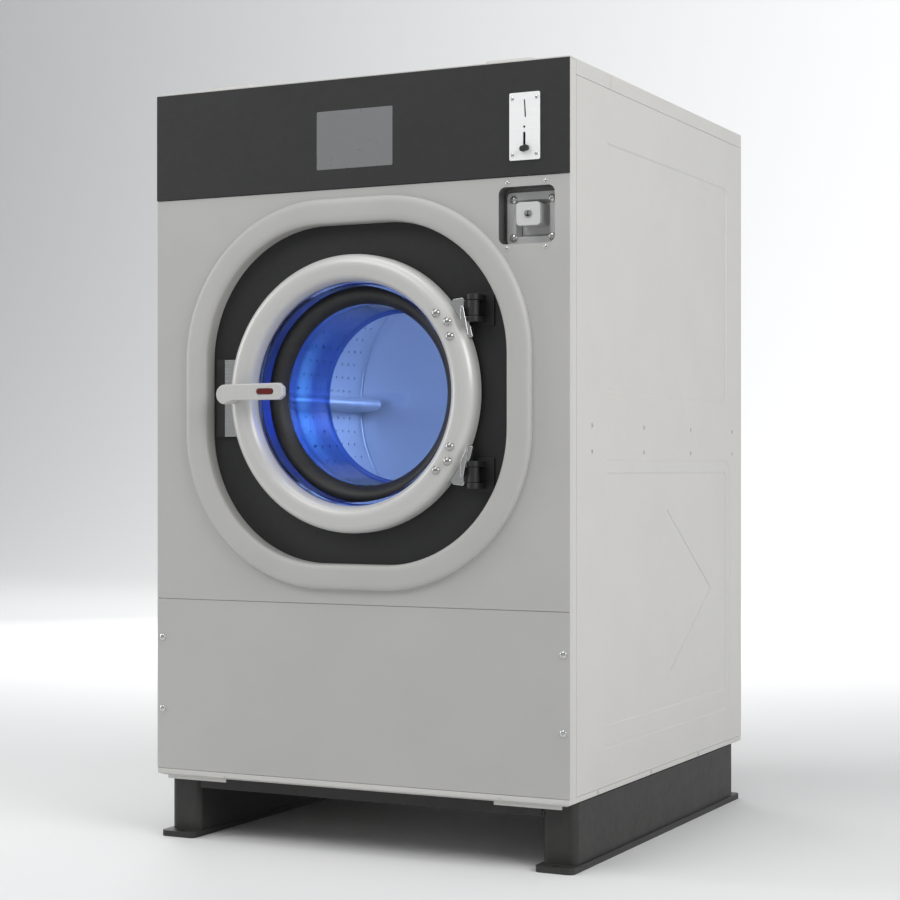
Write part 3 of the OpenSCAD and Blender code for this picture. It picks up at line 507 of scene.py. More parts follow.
def make_turned_grain():
    """Fine rings of metal polished on a lathe, about the drum's axis."""
    tree, given, end, place = skin("turned_grain", Grain=0.08, Roughness=0.25)
    radius, y, _ = about_axis(tree, place)
    ring = node(tree, "ShaderNodeCombineXYZ", ("X", radius), ("Y", y)).outputs[0]
    lines = noise(tree, scaled(tree, ring, 900.0, 900.0, 1.0), 1.0, 2.0)
    smudge = spread(tree, noise(tree, place, 8.0, 4.0, 0.6), 0.3, 0.7, -0.04, 0.05)
    rough = added(tree, given["Roughness"], smudge, spread(tree, lines, 0.3, 0.7, -0.03, 0.03))
    link_skin(tree, end, shaded(tree, given, spread(tree, lines, 0.25, 0.75, 0.92, 1.0)), rough,
              bumped(tree, lines, given["Grain"], SKIN_DEPTH))


def make_moulded_grain():
    """Fine leathery grain and dullness of moulded plastic and rubber."""
    tree, given, end, place = skin("moulded_grain", Grain=0.2, Roughness=0.5, Dust=0.1)
    grain = node(tree, "ShaderNodeTexVoronoi", ("Vector", place), ("Scale", 1400.0)).outputs["Distance"]
    wide = noise(tree, place, 22.0, 5.0, 0.65)
    dust = maths(tree, "MULTIPLY", spread(tree, wide, 0.45, 0.75), given["Dust"])
    link_skin(tree, end, tinted(tree, dust, given["Color"], (0.32, 0.31, 0.29, 1)),
              added(tree, given["Roughness"], spread(tree, wide, 0.3, 0.7, -0.05, 0.06)),
              bumped(tree, grain, given["Grain"], SKIN_DEPTH))


def make_cast_skin():
    """Coarse skin of a painted casting, with a wide random unevenness of colour and roughness."""
    tree, given, end, place = skin("cast_skin", Coarse=0.4, Roughness=0.6)
    coarse = noise(tree, place, 420.0, 4.0, 0.6)
    wide = noise(tree, place, 14.0, 4.0, 0.6)
    link_skin(tree, end, shaded(tree, given, spread(tree, wide, 0.3, 0.7, 0.8, 1.05)),
              added(tree, given["Roughness"], spread(tree, wide, 0.3, 0.7, -0.06, 0.06)),
              bumped(tree, coarse, given["Coarse"], 3 * SKIN_DEPTH))


def make_glass_tint_and_highlight():
    """Tint of a blown bowl: deep in its wall, paler towards the flat end, and a painted highlight in a bright
    band of light along the wall.
    """
    tree, start, end = group("glass_tint_and_highlight", [("Color", GREY), ("Wall", 0.172), ("Rim", 0.186)], SKIN_ENDS[:1])
    given = start.outputs
    radius, y, z = about_axis(tree, node(tree, "ShaderNodeTexCoord").outputs["Object"])
    wall, rim = (maths(tree, "GREATER_THAN", radius, given[label]) for label in ("Wall", "Rim"))
    depth = maths(tree, "SUBTRACT", y, GLASS[0][1])
    # Painted highlight: a bright blue streak in a band of depth along the wall, fading towards top and
    # bottom, where light runs through the glass.
    band = maths(tree, "MULTIPLY", spread(tree, depth, 0.078, 0.092),
                 spread(tree, depth, 0.112, 0.150, 1.0, 0.0))
    sides = spread(tree, maths(tree, "ABSOLUTE", z), 0.04, 0.15, 1.0, 0.0)
    pale = tinted(tree, 0.55, given["Color"], (0.40, 0.52, 0.94, 1))
    deep = shaded(tree, given, (0.17, 0.24, 0.54, 1))
    deep = tinted(tree, maths(tree, "MULTIPLY", band, sides), deep, (0.08, 0.27, 0.86, 1))
    deep = tinted(tree, rim, deep, (0.30, 0.45, 1.0, 1))
    tree.links.new(tinted(tree, wall, pale, deep), end.inputs["Color"])


def make_floor_dust():
    """Dust that thickens towards the floor, over any colour."""
    tree, start, end = group(
        "floor_dust", [("Color", GREY), ("Amount", 0.15), ("Height", 0.25)], SKIN_ENDS[:1])
    given = start.outputs
    place = node(tree, "ShaderNodeTexCoord").outputs["Object"]
    z = node(tree, "ShaderNodeSeparateXYZ", ("Vector", place)).outputs["Z"]
    low = maths(tree, "SUBTRACT", 1.0, spread(tree, z, 0.0, given["Height"]))
    cloud = spread(tree, noise(tree, place, 18.0, 5.0, 0.65), 0.35, 0.75, 0.3, 1.0)
    factor = maths(tree, "MULTIPLY", maths(tree, "MULTIPLY", low, cloud), given["Amount"])
    tree.links.new(tinted(tree, factor, given["Color"], (0.36, 0.34, 0.31, 1)), end.inputs["Color"])


# Each skin with the names of its values, and its finishes: colour, metallic, and those values. The
# colour given as None comes from the panel's colours.
FINISHES = (
    ("powder_coat", ("Peel", "Roughness", "Mottle"), (
        ("body_paint", None, 0.0, 0.08, 0.42, 0.03),
        ("panel_steel", None, 0.0, 0.06, 0.48, 0.04),
        ("fascia_dark", None, 0.0, 0.05, 0.68, 0.1),
        ("recess_dark", (0.017, 0.017, 0.017), 0.0, 0.2, 0.66, 0.1),
        ("skid_black", (0.017, 0.017, 0.016), 0.0, 0.3, 0.55, 0.15),
        ("screen_grey", (0.205, 0.208, 0.212), 0.0, 0.0, 0.3, 0.03),
        ("red_window", (0.13, 0.012, 0.010), 0.0, 0.0, 0.2, 0.1),
    )),
    ("brushed_grain", ("Grain", "Roughness"), (
        ("frame_zinc", (0.42, 0.43, 0.43), 0.7, 0.1, 0.5),
        ("vault_steel", (0.70, 0.70, 0.69), 0.15, 0.03, 0.34),
        # Painted shade: the vault's steel darkened for the pocket's walls, standing for the shade inside the
        # pocket.
        ("vault_shade", (0.20, 0.20, 0.195), 0.8, 0.03, 0.4),
        ("nut_steel", (0.46, 0.46, 0.45), 1.0, 0.02, 0.24),
        ("bright_steel", (0.66, 0.66, 0.65), 1.0, 0.04, 0.22),
        ("white_plate", (0.97, 0.97, 0.965), 0.0, 0.006, 0.22),
    )),
    ("turned_grain", ("Grain", "Roughness"), (
        ("satin_steel", (0.60, 0.595, 0.58), 0.12, 0.04, 0.34),
        ("drum_steel", (0.62, 0.64, 0.66), 0.75, 0.05, 0.38),
        ("chrome_lock", (0.7, 0.7, 0.7), 1.0, 0.03, 0.16),
    )),
    ("moulded_grain", ("Grain", "Roughness", "Dust"), (
        ("black_rubber", (0.016, 0.016, 0.017), 0.0, 0.15, 0.5, 0.05),
        ("black_plastic", (0.02, 0.02, 0.02), 0.0, 0.1, 0.42, 0.04),
        ("hinge_black", (0.010, 0.010, 0.010), 0.0, 0.08, 0.5, 0.02),
        ("white_plastic", (0.56, 0.555, 0.53), 0.0, 0.08, 0.4, 0.06),
    )),
    ("cast_skin", ("Coarse", "Roughness"), (
        ("cast_grey", (0.15, 0.155, 0.16), 0.2, 0.4, 0.55),
        ("motor_paint", (0.10, 0.14, 0.19), 0.0, 0.25, 0.5),
    )),
)
DUSTY = {"body_paint": 0.05, "skid_black": 0.06}


def fresh_material(name):
    """A new material of that name; one that came with the frame gives the name up."""
    if name in bpy.data.materials:
        bpy.data.materials[name].name = name + "_plain"
    made = bpy.data.materials.new(name)
    made.use_nodes = True
    return made


def set_surface(tree, values):
    """Sets or links the named inputs of a new material's shader."""
    surface = next(n for n in tree.nodes if n.type == "BSDF_PRINCIPLED")
    for label, source in values.items():
        feed(tree, surface.inputs[label], source)


def use_group(tree, name, **values):
    """A node for a shader group, with its values or sources."""
    made = node(tree, "ShaderNodeGroup", node_tree=bpy.data.node_groups[name])
    for key, source in values.items():
        feed(tree, made.inputs[key], source)
    return made.outputs


def material(name, skin_name, shade, metallic, values):
    """A finish: a skin group with its values, floor dust where wanted, and the shader's plain values."""
    made = fresh_material(name)
    made.diffuse_color = (*shade, 1)
    tree = made.node_tree
    tree.nodes.clear()
    end = node(tree, "ShaderNodeOutputMaterial")
    surface = node(tree, "ShaderNodeBsdfPrincipled", ("Metallic", metallic))
    tree.links.new(surface.outputs[0], end.inputs[0])
    coat = use_group(tree, skin_name, Color=(*shade, 1), **values)
    shade_of = coat["Color"]
    if name in DUSTY:
        shade_of = use_group(tree, "floor_dust", Amount=DUSTY[name], Color=shade_of)["Color"]
    tree.links.new(shade_of, surface.inputs["Base Color"])
    for label in ("Roughness", "Normal"):
        tree.links.new(coat[label], surface.inputs[label])


class WASHER_OT_finishes(bpy.types.Operator):
    """Makes every finish and gives each CAD node the finish of its slot"""

    bl_idname = "washer.finishes"
    bl_label = "Finishes"

    def execute(self, context):
        for maker in (make_powder_coat, make_brushed_grain, make_turned_grain, make_moulded_grain,
                      make_cast_skin, make_glass_tint_and_highlight, make_floor_dust):
            maker()
        tint = colours()
        tints = {"body_paint": tint.body, "panel_steel": tint.front, "fascia_dark": tint.dark}
        for skin_name, labels, rows in FINISHES:
            for name, shade, metallic, *values in rows:
                material(name, skin_name, tints.get(name, shade), metallic, dict(zip(labels, values)))
        tree = fresh_material("blue_glass").node_tree
        ripple = noise(tree, node(tree, "ShaderNodeTexCoord").outputs["Object"], 26.0, 2.0)
        set_surface(tree, {
            "Roughness": 0.015, "Transmission Weight": 1.0, "IOR": 1.47,
            "Normal": bumped(tree, ripple, 0.05, 0.002),
            "Base Color": use_group(tree, "glass_tint_and_highlight", Color=(*tint.glass, 1))["Color"]})
        for name, obj in NODES.items():
            for place in obj.material_slots:
                place.material = bpy.data.materials[SLOT_OF[name]]
        return {"FINISHED"}


# Sheets and panels


def dome(power, steps):
    """Points (t, rise) over a flattened dome, closer where it is steep."""
    places = [0.5 - 0.5 * math.cos(math.pi * i / steps) for i in range(steps + 1)]
    return [(t, max(0.0, 1 - abs(2 * t - 1) ** power) ** (1 / power)) for t in places]


def bead_profile(outer, inner, height, back):
    """The surround's section as (distance from the corner's centre, y) points, front then back."""
    crown = dome(3.6, 24)
    front = [(outer - (outer - inner) * t, FRONT_Y - height * rise) for t, rise in crown]
    rear = [(outer - SHEET - (outer - inner - 2 * SHEET) * t, FRONT_Y + SHEET - height * rise)
            for t, rise in crown[::-1]]
    return front + [(inner, back), (inner + SHEET, back)] + rear + [(outer, FRONT_Y + SHEET)]


def sweep_surround(name, profile, flat, steps=28):
    """Sweeps a section round four quarter turns and four straight flanks."""
    path = profile + [profile[0]]
    obj = chain(name, [(flat + r, y, DOOR_Z - flat) for r, y in path])
    edit("EDGE", "SELECT")
    for turn in range(4):
        a = math.radians(90 * turn)
        push(x=-2 * flat * math.sin(a), z=2 * flat * math.cos(a))
        corner = (flat * (math.cos(a) - math.sin(a)), 0, DOOR_Z + flat * (math.sin(a) + math.cos(a)))
        bpy.ops.mesh.spin(steps=steps, angle=math.pi / 2, center=corner, axis=(0, 1, 0))
    leave()
    return close_up(obj)


def surround_outline(half, flat):
    """The outline of a surround of that half width, as (x, z) points."""
    return rounded(0, DOOR_Z, 2 * half, 2 * half, half - flat, 28)


class WASHER_OT_front(bpy.types.Operator):
    """The upper front sheet with its pressed surround, and the lower access panel"""

    bl_idname = "washer.front"
    bl_label = "Front sheets"

    def execute(self, context):
        size = sizes()
        z0, z1 = (corner[2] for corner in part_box("upper_front_panel"))
        sheet = block("front_sheet", (-SIDE_X, FRONT_Y, z0), (SIDE_X, FRONT_Y + SHEET, z1))
        bevel(sheet, 0.0006, 2)
        hole = slab("front_hole", surround_outline(size.bead_outer - 0.0002, size.bead_flat),
                    FRONT_Y - 0.01, FRONT_Y + 0.01)
        pocket = slab("pocket_hole", rounded(VAULT_X, VAULT_Z, 0.116, 0.108, 0.014, 10),
                      FRONT_Y - 0.01, FRONT_Y + 0.01)
        cut(sheet, hole, pocket)
        bead = sweep_surround("surround_bead", bead_profile(
            size.bead_outer - size.bead_flat, size.bead_inner - size.bead_flat, size.bead_height,
            RECESS_Y), size.bead_flat)
        smooth(bead, 50)
        upper = join("upper_front_sheet", sheet, bead)
        finish(upper, "panel_steel", "upper_front_panel", angle=50)

        low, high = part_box("lower_front_panel")
        panel = block("lower_front_sheet", low, (high[0], low[1] + SHEET, high[2]))
        bevel(panel, 0.0006, 2)
        flange = block("lower_front_flange", (low[0] + 0.024, low[1] + 0.0013, low[2]),
                       (high[0] - 0.024, low[1] + 0.014, low[2] + 0.002))
        bevel(flange, 0.0004, 1)
        lower = join("lower_front_sheet", panel, flange)
        finish(lower, "panel_steel", "lower_front_panel")
        return {"FINISHED"}


class WASHER_OT_sides(bpy.types.Operator):
    """Both side sheets, with their pressed fields and the stiffening crease"""

    bl_idname = "washer.sides"
    bl_label = "Side sheets"

    def execute(self, context):
        low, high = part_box("side_panel_right")
        middle_y, width = 0.037, 0.730
        sheet = block("side_skin", (SIDE_X - SHEET, low[1], low[2]), (SIDE_X, high[1], high[2]))
        bevel(sheet, 0.0005, 2)

        def outline(z0, z1, grow):
            return rounded(middle_y, (z0 + z1) / 2, width + 2 * grow, z1 - z0 + 2 * grow, 0.016 + grow, 8)

        # Bottom, growth all round, and depth below the sheet
        lower = ((0.240, 0.026, 0.0), (0.240, 0.0255, 0.0002), (0.240, 0.024, 0.0009),
                 (0.240, 0.023, 0.001), (0.258, 0.0005, 0.001), (0.258, 0.0, 0.0012),
                 (0.258, -0.0015, 0.0022), (0.258, -0.003, 0.0029), (0.258, -0.004, 0.003))
        upper = ((0.905, 0.0, 0.0), (0.905, -0.0007, 0.0004), (0.905, -0.002, 0.0018),
                 (0.905, -0.0032, 0.0028), (0.905, -0.0045, 0.003))
        wells = []
        for number, (top, rings) in enumerate(((0.750, lower), (1.390, upper))):
            bottom, grow, _ = rings[0]
            cut(sheet, slab("field_hole", outline(bottom, top, grow), SIDE_X - 0.01, SIDE_X + 0.01, "x"))
            well = close_up(lofted("pressed_field_%d" % number, [
                [(SIDE_X - depth, y, z) for y, z in outline(bottom, top, grow)]
                for bottom, grow, depth in rings]))
            if sum(face.normal.x * face.area for face in well.data.polygons) < 0:
                edit("FACE", "SELECT")
                bpy.ops.mesh.flip_normals()
                leave()
            with_modifier(well, "SOLIDIFY", thickness=SHEET, offset=-1)
            wells.append(well)
        arrow = [(0.020, 0.671), (0.0265, 0.6725), (0.305, 0.497), (0.305, 0.491),
                 (0.050, 0.3325), (0.0435, 0.334), (0.298, 0.494)]
        ridge = bevel(slab("crease", arrow, SIDE_X - 0.0036, SIDE_X - 0.0020, "x"), 0.0009, 3, 20)
        right = join("side_sheet_right", sheet, *wells, ridge)
        smooth(right, 40)
        left = mirrored(copied(right, "side_sheet_left"), (-1, 1, 1), keep=False)
        finish(right, "body_paint", "side_panel_right", angle=40)
        finish(left, "body_paint", "side_panel_left", angle=40)
        return {"FINISHED"}


# The door


class WASHER_OT_door(bpy.types.Operator):
    """The pressed door ring, its glass bowl, trim seal and nuts"""

    bl_idname = "washer.door"
    bl_label = "Door"

    def execute(self, context):
        size = sizes()
        ring_low, ring_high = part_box("door_ring")
        outer, back, bulge, lip = ring_high[0], ring_high[1], ring_low[1], GLASS[0][1]
        inner, wall = 0.220, 0.0016

        def section(inset):
            """The ring's outside from its outer edge over the crown to its inner lip."""
            width, height = inner - outer + 2 * inset, bulge + inset - FRONT_Y
            return [(outer - inset + width * t, FRONT_Y + height * rise) for t, rise in dome(2.5, 32)]

        ring = turned("door_ring_pressing", [(outer, back)] + section(0.0) + [
            (inner, lip), (inner + wall, lip)] + section(wall)[::-1] + [(outer - wall, back), (outer, back)])
        cut(ring, rod("shaft_hole", (SHAFT_X, bulge - 0.02, SHAFT_Z), 0.013, 0.06))
        finish(ring, "satin_steel", "door_ring", angle=50)

        shoulder = FRONT_Y + 0.059
        bowl, wall = size.bowl_radius, 0.006
        end = shoulder + 0.148
        band = inner - 0.001
        outside = [(inner + 0.018, lip), (inner + 0.018, back), (band, back), (band, shoulder + wall - 0.004),
                   (band - 0.0012, shoulder + wall - 0.0012), (band - 0.004, shoulder + wall)]
        outside += arc(bowl + wall + 0.004, shoulder + wall + 0.004, 0.004, -90, -180, 6)
        outside += arc(bowl + wall - 0.010, end + wall - 0.010, 0.010, 0, 90, 9)
        outside += [(bowl * f, end + wall) for f in (0.7, 0.5, 0.3, 0.12)]
        inside = [(bowl * f, end) for f in (0.12, 0.3, 0.5, 0.7)]
        inside += arc(bowl - 0.004, end - 0.004, 0.004, 90, 0, 6)
        inside += [(bowl, shoulder + 0.03), (bowl + 0.0015, shoulder + 0.022)]
        inside += [(bowl + 0.002, shoulder + 0.012)]
        inside += arc(bowl + 0.006, shoulder + 0.004, 0.004, 180, 270, 6)
        inside += arc(band - wall - 0.006, shoulder - 0.006, 0.006, 90, 0, 6)
        inside += [(band - wall, shoulder - 0.03), (band - wall, lip)]
        profile = [(0.0, end + wall)] + outside[::-1] + inside[::-1] + [(0.0, end)]
        glass = turned("door_bowl_glass", profile)
        finish(glass, "blue_glass", "door_glass", angle=60)

        low, high = band - wall - 0.0003, bowl + 0.002
        lobe = []
        for t, _ in dome(2, 30):
            crown = math.sin(math.pi * (0.62 * t + 0.02) ** 0.9)
            lobe.append((high + (low - high) * t, shoulder - 0.003 - 0.022 * crown))
        seal = turned("door_trim_seal", [(high, shoulder)] + lobe + [(low, shoulder), (high, shoulder)])
        finish(seal, "black_rubber", "door_trim_ring", angle=50)

        nut = turned("cap_nut", [(0.0, bulge - 0.0058)] + [
            (0.0073 * math.sin(math.radians(a)), bulge - 0.0022 - 0.0036 * math.cos(math.radians(a)))
            for a in range(15, 91, 15)] + [(0.0079, bulge - 0.0016), (0.0087, bulge - 0.0012),
                                          (0.0087, bulge - 0.0002), (0.0, bulge - 0.0002)],
                     steps=32, centre=(0.0, DOOR_Z))
        nuts = []
        for angle, radius in ((37.3, 0.2466), (31.0, 0.2574), (24.9, 0.2484)):
            x, z = radius * math.cos(math.radians(angle)), radius * math.sin(math.radians(angle))
            nuts += [copied(nut, "cap_nut", x=x, z=side * z) for side in (1, -1)]
        bpy.data.objects.remove(nut)
        finish(join("door_cap_nuts", *nuts), "nut_steel", "door_nuts")
        return {"FINISHED"}


class WASHER_OT_hinges(bpy.types.Operator):
    """The bright hinge plates with their folds, the dark pin housings, and the wall brackets"""

    bl_idname = "washer.hinges"
    bl_label = "Hinges"

    def execute(self, context):
        y = FRONT_Y - 0.006
        plate = slab("hinge_plate", [
            (0.2215, 1.0809), (0.2423, 1.0830), (0.2526, 1.0655), (0.2556, 1.0380), (0.2630, 1.0080)
        ] + arc(0, DOOR_Z, 0.2731, 22, 38, 8), y, y + 0.013)
        bevel(plate, 0.0012, 3, 25)
        cut(plate, block("plate_joint", (0.226, y - 0.001, 1.0664), (0.2500, y + 0.0008, 1.0676)))
        fold = slab("hinge_fold", [(0.2470, 1.0660), (0.2530, 1.0650), (0.2588, 1.0360), (0.2640, 1.0092),
                                   (0.2600, 1.0120), (0.2469, 1.0372)], FRONT_Y - 0.0270, FRONT_Y - 0.0240)
        bevel(fold, 0.0012, 3, 25)
        leg = block("fold_leg", (0.2475, FRONT_Y - 0.0250, 1.0385), (0.2495, y + 0.002, 1.0650))
        fold = join("hinge_fold", fold, leg)
        tube = ((0.0061, 0.143), (0.010, 0.143), (0.011, 0.144), (0.011, 0.172), (0.010, 0.173),
                (0.0061, 0.173), (0.0061, 0.143))
        eye = turned("hinge_eye", [(r, DOOR_Z + z) for r, z in tube],
                     steps=48, centre=(0.268, FRONT_Y - 0.013), axis="Z")
        arm = bevel(block("hinge_web", (0.246, FRONT_Y - 0.011, DOOR_Z + 0.1435),
                          (0.262, FRONT_Y + 0.0005, DOOR_Z + 0.1725)), 0.001)
        bright = join("hinge_plates", plate, fold)
        dark = join("hinge_eyes", eye, arm)
        for piece in (bright, dark):
            mirrored(piece, (1, 1, -1), (0, 0, DOOR_Z))
        finish(bright, "bright_steel", "hinge_arms")
        finish(dark, "recess_dark", body="door")
        brackets = softened("hinge_brackets", 0.0012, 3)
        for piece in (dark, brackets):
            piece.material_slots[0].material = bpy.data.materials["hinge_black"]
        return {"FINISHED"}


class WASHER_OT_handle(bpy.types.Operator):
    """The handle with its window, and the latch behind it"""

    bl_idname = "washer.handle"
    bl_label = "Handle and latch"

    def execute(self, context):
        x0, x1, z = SHAFT_X, -0.123, SHAFT_Z
        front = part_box("door_handle")[0][1]
        knob = [(0.0, 0.0002), (0.0148, 0.0002), (0.0152, 0.0008), (0.0155, 0.0018), (0.0159, 0.0018),
                (0.0164, 0.0013), (0.0164, 0.0120), (0.0185, 0.0125)]
        shaft = [(0.0185, -0.0318), (0.0178, -0.0306), (0.0175, -0.0304), (0.009, -0.0304),
                 (0.009, 0.0090), (0.0, 0.0090)]
        boss = turned("handle_boss", [(r, front + y) for r, y in knob] + [(r, FRONT_Y + y) for r, y in shaft],
                      steps=64, centre=(x0, z))
        lever = slab("handle_lever", arc(x0, z, 0.0196, 95, 270, 14) + [
            (x0 + 0.016, z - 0.012), (x1 - 0.009, z - 0.012), (x1, z - 0.004), (x1, z + 0.012),
            (x1 - 0.009, z + 0.021)], front + 0.0005, front + 0.014)
        bevel(lever, 0.0022, 4, 25)
        cut(lever, slab("window_hole", rounded(x1 - 0.041, z + 0.0045, 0.040, 0.013, 0.0062, 8),
                        front - 0.004, front + 0.004))
        finish(join("handle_grip", lever, boss), "satin_steel", "door_handle", angle=30)
        window = slab("handle_window_lens", rounded(x1 - 0.041, z + 0.0045, 0.0375, 0.0105, 0.005, 8),
                      front + 0.0012, front + 0.0040)
        bevel(window, 0.0006, 3, 25)
        finish(window, "red_window", "handle_window")
        softened("latch_plate", 0.0008)
        softened("lock_housing", 0.0015, 3)
        softened("handle_bush", 0.0006)
        return {"FINISHED"}


# Coin unit and vault


class WASHER_OT_coin_unit(bpy.types.Operator):
    """The coin plate with its lever, and the vault with plate, nose and lock"""

    bl_idname = "washer.coin_unit"
    bl_label = "Coin unit and vault"

    def execute(self, context):
        front = COIN[0][1]
        through = (front - 0.01, front + 0.01)
        plate = slab("coin_face", rounded(COIN_X, COIN_Z, COIN[1][0] - COIN[0][0], COIN[1][2] - COIN[0][2],
                                          0.003), front, front + 0.003)
        bevel(plate, 0.0007, 3, 40)
        slot = moved(slab("coin_slot", rounded(0, 0, 0.0032, 0.034, 0.00158), *through),
                     COIN_X + 0.0009, 0, COIN_Z + 0.0335, 3.6)
        dot = rod("coin_dot", (COIN_X - 0.0005, front - 0.01, COIN_Z - 0.001), 0.0025, 0.02, sides=24)
        track = slab("lever_track", rounded(COIN_X - 0.0005, COIN_Z - 0.0290, 0.0054, 0.037, 0.0025),
                     *through)
        cut(plate, slot, dot, track)
        finish(plate, "white_plate", "coin_plate", angle=30)

        low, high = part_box("coin_lever")
        tab = slab("lever_tab", rounded(0, 0, 0.018, 0.011, 0.005, 8), low[1], low[1] + 0.008)
        bevel(tab, 0.0012, 3, 25)
        moved(tab, (low[0] + high[0]) / 2, 0, low[2] + 0.0075, 12)
        base_z = COIN_Z - 0.0455
        stem = block("lever_stem", (COIN_X - 0.0023, low[1] + 0.005, base_z),
                     (COIN_X + 0.0013, high[1] - 0.002, base_z + 0.007))
        foot = block("lever_foot", (COIN_X - 0.005, front + 0.0033, base_z - 0.001),
                     (COIN_X + 0.004, high[1], base_z + 0.009))
        finish(join("coin_return_lever", tab, stem, foot), "black_plastic", "coin_lever")

        pocket = softened("vault_pocket", 0.0016, 3)
        # Painted shade on the pocket's walls: darkened steel in place of the shade inside the pocket.
        pocket.material_slots[0].material = bpy.data.materials["vault_shade"]
        softened("vault_plate", 0.0012, 3)
        softened("coin_drawer", 0.0022, 4, 40)
        softened("vault_lock", 0.0006, 2)
        return {"FINISHED"}


# Skid, top and inside


class WASHER_OT_frame(bpy.types.Operator):
    """Rounds the edges of the skid, sill, posts, top, hatches and rear pieces"""

    bl_idname = "washer.frame"
    bl_label = "Skid, top and rear"

    def execute(self, context):
        for node_name, width in (
                ("base_rails", 0.0015), ("base_crossmembers", 0.001),
                ("corner_posts", 0.0006), ("recess_panel", 0.0006), ("control_fascia", 0.0009),
                ("touch_screen", 0.0005), ("top_panel", 0.0009), ("hatch_brackets", 0.0006),
                ("rear_upper_panel", 0.0005), ("rear_lower_panel", 0.0005), ("inlet_valves", 0.0008),
                ("motor_mount", 0.001), ("drive_box", 0.001)):
            softened(node_name, width)
        for side in ("left", "right"):
            softened("hatch_lid_" + side, 0.0008, 2, 25)
        pan = softened("floor_pan", 0.0008)
        y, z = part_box("floor_pan")[0][1], 0.1332
        strokes = ((-0.0025, 0.0025, 0.0012, 0.0024), (0.0013, 0.0025, -0.0026, 0.0012),
                   (-0.0025, -0.0013, -0.0010, 0.0012))
        for x in (-0.2953, 0.3164):
            cut(pan, *[block("clip_mark", (x + x0, y - 0.001, z + z0), (x + x1, y + 0.0008, z + z1))
                       for x0, x1, z0, z1 in strokes])
        return {"FINISHED"}


